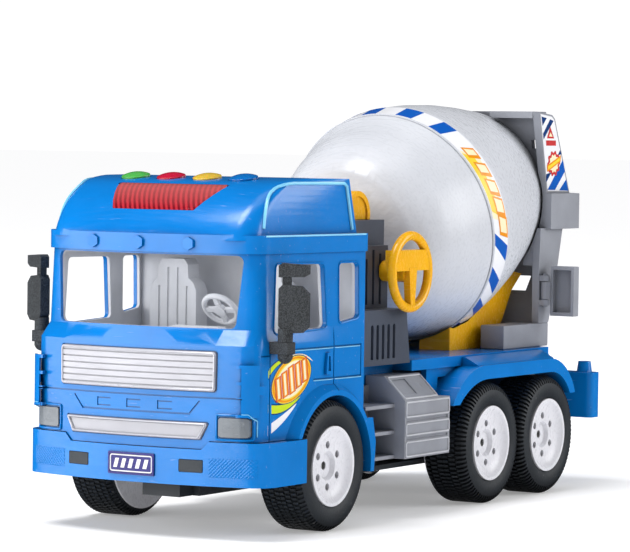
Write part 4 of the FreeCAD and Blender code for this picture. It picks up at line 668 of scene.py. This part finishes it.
# ---- wheels -----------------------------------------------------------------------------------
WHEEL_OUT = 66.6                # from the truck's middle plane to a wheel's outer face
WHEEL_WIDTH = 25.0
AXLE_Z = 31.0
AXLES = {"front": -111.0, "middle": 46.3, "rear": 108.7}
LUGS = 80                       # tread blocks round a tyre
LUG_STEPS = (0.0, 0.06, 0.5, 0.56)
SOLID = None                    # row of a station that runs round the tyre without gaps
BACK_TURNS = 72
# stations across the tyre: distance from its outer face, radius, tread row, depth of its gaps
REAR_TREAD = [
    (1.4, 19.2, SOLID, 0), (0.7, 20.4, SOLID, 0), (0.15, 22.3, SOLID, 0), (0.0, 24.2, SOLID, 0),
    (0.25, 26.1, SOLID, 0), (0.6, 27.2, SOLID, 0), (0.66, 27.4, 0, 1.2), (1.2, 28.9, 0, 1.8),
    (2.2, 30.0, 0, 1.9), (3.4, 30.7, 0, 1.8), (4.7, 31.0, 0, 1.7), (4.9, 29.5, SOLID, 0),
    (5.4, 29.5, SOLID, 0), (5.6, 31.0, 1, 1.3), (8.8, 31.0, 1, 1.3), (9.0, 29.8, SOLID, 0),
    (9.4, 29.8, SOLID, 0), (9.6, 31.0, 0, 1.3), (12.3, 31.0, 0, 1.3), (12.5, 29.8, SOLID, 0),
]
FRONT_TREAD = [
    (1.2, 19.2, SOLID, 0), (0.6, 20.4, SOLID, 0), (0.15, 22.3, SOLID, 0), (0.0, 24.6, SOLID, 0),
    (0.3, 26.8, SOLID, 0), (0.9, 28.4, SOLID, 0), (1.0, 28.6, 0, 0.8), (1.9, 29.8, 0, 1.0),
    (3.1, 30.6, 0, 1.0), (3.3, 29.6, SOLID, 0), (3.6, 29.6, SOLID, 0), (3.8, 30.9, 1, 1.0),
    (6.2, 31.0, 1, 1.0), (6.4, 30.0, SOLID, 0), (6.8, 30.0, SOLID, 0), (7.0, 31.0, 0, 1.0),
    (9.4, 31.0, 0, 1.0), (9.6, 30.0, SOLID, 0), (10.0, 30.0, SOLID, 0), (10.2, 31.0, 1, 1.0),
    (12.3, 31.0, 1, 1.0), (12.5, 30.0, SOLID, 0),
]
# section of the pale inner disc: inset from the wheel's outer face, radius
WHEEL_BACK = [(25.3, 3.2), (25.3, 8.0), (25.1, 9.0), (25.1, 25.4), (25.3, 26.2), (25.2, 27.2), (24.0, 27.2),
              (22.8, 3.2)]


def ring_faces(count, turns, first):
    """Faces of a closed ring of sections with count points each; first is its first point's index."""
    faces = []
    for j in range(turns):
        here = first + j * count
        there = first + (j + 1) % turns * count
        for k in range(count):
            faces.append((here + k, here + (k + 1) % count, there + (k + 1) % count, there + k))
    return faces


def wheel_point(side, centre_y, inset, reach, angle):
    """Point of a wheel at an inset from its outer face and a reach from its axle."""
    return (side * (WHEEL_OUT - inset), centre_y + reach * math.cos(angle), AXLE_Z + reach * math.sin(angle))


def tyre_ring(stations, side, centre_y, first):
    """Points and faces of one tyre with raised tread blocks, symmetric about its middle."""
    inner = [(WHEEL_WIDTH - t, r, row, depth) for t, r, row, depth in reversed(stations[:-1])]
    profile = stations + inner
    points = []
    turns = LUGS * len(LUG_STEPS)
    for j in range(turns):
        lug, phase = divmod(j, len(LUG_STEPS))
        angle = 2 * math.pi * (lug + LUG_STEPS[phase]) / LUGS
        raised_row = 0 if phase in (1, 2) else 1
        for t, r, row, depth in profile:
            reach = r if row in (SOLID, raised_row) else r - depth
            points.append(wheel_point(side, centre_y, t, reach, angle))
    return points, ring_faces(len(profile), turns, first)


def back_ring(side, centre_y, first):
    """Points and faces of the pale disc on one wheel's inner face."""
    points = []
    for j in range(BACK_TURNS):
        angle = 2 * math.pi * j / BACK_TURNS
        points += [wheel_point(side, centre_y, t, r, angle) for t, r in WHEEL_BACK]
    return points, ring_faces(len(WHEEL_BACK), BACK_TURNS, first)


def both_wheels(make_ring):
    """Points and faces of one ring on each side of the truck."""
    points = []
    faces = []
    for side in (LEFT, RIGHT):
        more_points, more_faces = make_ring(side, len(points))
        points += more_points
        faces += more_faces
    return points, faces


def make_wheels():
    """Treaded tyres and the pale discs on the wheels' inner faces."""
    for name, centre_y in AXLES.items():
        stations = FRONT_TREAD if name == "front" else REAR_TREAD
        points, faces = both_wheels(lambda side, first: tyre_ring(stations, side, centre_y, first))
        piece(f"{name}_tyre_treads", points, faces, "rubber", f"{name}_axle", f"{name}_tyres")
        points, faces = both_wheels(lambda side, first: back_ring(side, centre_y, first))
        piece(f"{name}_wheel_backs", points, faces, "rim_white", f"{name}_axle")


print_band()
print_plate()
grille_details()
lens_details()
for side_name, side_sign in SIDES.items():
    lamp_details(side_name, side_sign)
    print_door(side_name, side_sign)
    print_panel(side_name, side_sign)
    cab_side_details(side_name, side_sign)
    box_details(side_name, side_sign)
make_wheels()

for node_name, node_object in NODES.items():
    finish_cad_node(node_name, node_object)


# ---- stage ------------------------------------------------------------------------------------
CAMERA_PLACE = Vector((882.3, -1477.3, 185.7)) * MM
AZIMUTH = math.radians(31.21)
ELEVATION = math.radians(2.34)
ROLL = math.radians(0.79)
LENS = 193.49
SENSOR = 36.0


def make_camera():
    """Camera at the viewing angle of the reference view."""
    back = Vector((math.sin(AZIMUTH) * math.cos(ELEVATION), -math.cos(AZIMUTH) * math.cos(ELEVATION),
                   math.sin(ELEVATION)))
    right = Vector((math.cos(AZIMUTH), math.sin(AZIMUTH), 0))
    up = back.cross(right)
    x = right * math.cos(ROLL) + up * math.sin(ROLL)
    y = up * math.cos(ROLL) - right * math.sin(ROLL)
    camera = bpy.data.objects.new("camera", bpy.data.cameras.new("camera"))
    bpy.context.scene.collection.objects.link(camera)
    turn = Matrix((x, y, back)).transposed().to_4x4()
    camera.matrix_world = Matrix.Translation(CAMERA_PLACE) @ turn
    camera.data.lens = LENS
    camera.data.sensor_width = SENSOR
    camera.data.clip_start = 0.01
    bpy.context.scene.camera = camera


def area_light(name, place, size, glow, gloss=1.0, lighting=1.0, aim=(0, 0, 0.1)):
    """Soft rectangular light of a given brightness, aimed at the truck."""
    light = bpy.data.lights.new(name, "AREA")
    light.shape = "RECTANGLE"
    light.size = size[0]
    light.size_y = size[1]
    light.energy = glow * math.pi * size[0] * size[1]
    light.specular_factor = gloss
    light.diffuse_factor = lighting
    item = bpy.data.objects.new(name, light)
    item.location = Vector(place)
    item.rotation_mode = "QUATERNION"
    item.rotation_quaternion = (Vector(place) - Vector(aim)).to_track_quat("Z", "Y")
    bpy.context.scene.collection.objects.link(item)


def sun_light(name, direction, strength, spread):
    """Soft sun shining along a direction."""
    light = bpy.data.lights.new(name, "SUN")
    light.energy = strength
    light.angle = math.radians(spread)
    item = bpy.data.objects.new(name, light)
    item.rotation_mode = "QUATERNION"
    item.rotation_quaternion = (-Vector(direction)).to_track_quat("Z", "Y")
    bpy.context.scene.collection.objects.link(item)


BACKDROP = 1.05                 # the white that the camera sees
AMBIENT = 0.28                  # the surroundings as they light the truck
GLOSS_AMBIENT = 0.03            # the surroundings as glossy plastic mirrors them
FLOOR_GLOW = 0.27
FLOOR_REACH = 30.0


def make_world():
    """White backdrop over dimmer surroundings."""
    world = bpy.data.worlds.new("studio")
    world.use_nodes = True
    tree = world.node_tree
    tree.nodes.clear()
    path = shader(tree, "ShaderNodeLightPath")
    backdrop = shader(tree, "ShaderNodeBackground", {"Color": (1, 1, 1, 1), "Strength": BACKDROP})
    soft = shader(tree, "ShaderNodeBackground", {"Color": (1, 1, 1, 1), "Strength": AMBIENT})
    gloss = shader(tree, "ShaderNodeBackground", {"Color": (1, 1, 1, 1), "Strength": GLOSS_AMBIENT})
    unseen = shader(tree, "ShaderNodeMixShader", {0: path.outputs["Is Glossy Ray"], 1: soft.outputs[0],
                                                  2: gloss.outputs[0]})
    both = shader(tree, "ShaderNodeMixShader", {0: path.outputs["Is Camera Ray"], 1: unseen.outputs[0],
                                                2: backdrop.outputs[0]})
    output = shader(tree, "ShaderNodeOutputWorld")
    tree.links.new(both.outputs[0], output.inputs[0])
    bpy.context.scene.world = world


def make_floor():
    """Pale floor that only darkens softly under the truck."""
    mesh = bpy.data.meshes.new("floor")
    far = FLOOR_REACH
    mesh.from_pydata([(-far, -far, 0), (far, -far, 0), (far, far, 0), (-far, far, 0)], [], [(0, 1, 2, 3)])
    floor = bpy.data.objects.new("floor", mesh)
    bpy.context.scene.collection.objects.link(floor)
    white = bpy.data.materials.new("floor_white")
    white.use_nodes = True
    surface = white.node_tree.nodes["Principled BSDF"]
    surface.inputs["Base Color"].default_value = (0.9, 0.9, 0.91, 1)
    surface.inputs["Roughness"].default_value = 0.9
    surface.inputs["Emission Color"].default_value = (1, 1, 1, 1)
    surface.inputs["Emission Strength"].default_value = FLOOR_GLOW
    mesh.materials.append(white)
    floor.visible_glossy = False


def make_stage():
    """White surroundings, pale floor and soft lights, one of them small and inside the cab."""
    bpy.context.scene.view_settings.view_transform = "Standard"
    make_world()
    make_floor()
    sun_light("top_sun", (0.2, 0.35, -1.0), 1.9, 25.0)
    area_light("front_box", (-1.5, -2.3, 0.5), (3.6, 1.8), 3.6, lighting=0.4)
    area_light("side_box", (1.9, 1.3, 0.9), (1.6, 1.2), 4.4, gloss=0.04)
    area_light("top_box", (0.2, 0.2, 2.6), (1.6, 1.2), 1.4)
    area_light("cab_glow", (0.0, -0.13, 0.129), (0.08, 0.03), 0.7, gloss=0.0, aim=(0.0, -0.13, 0.0))


make_camera()
make_stage()
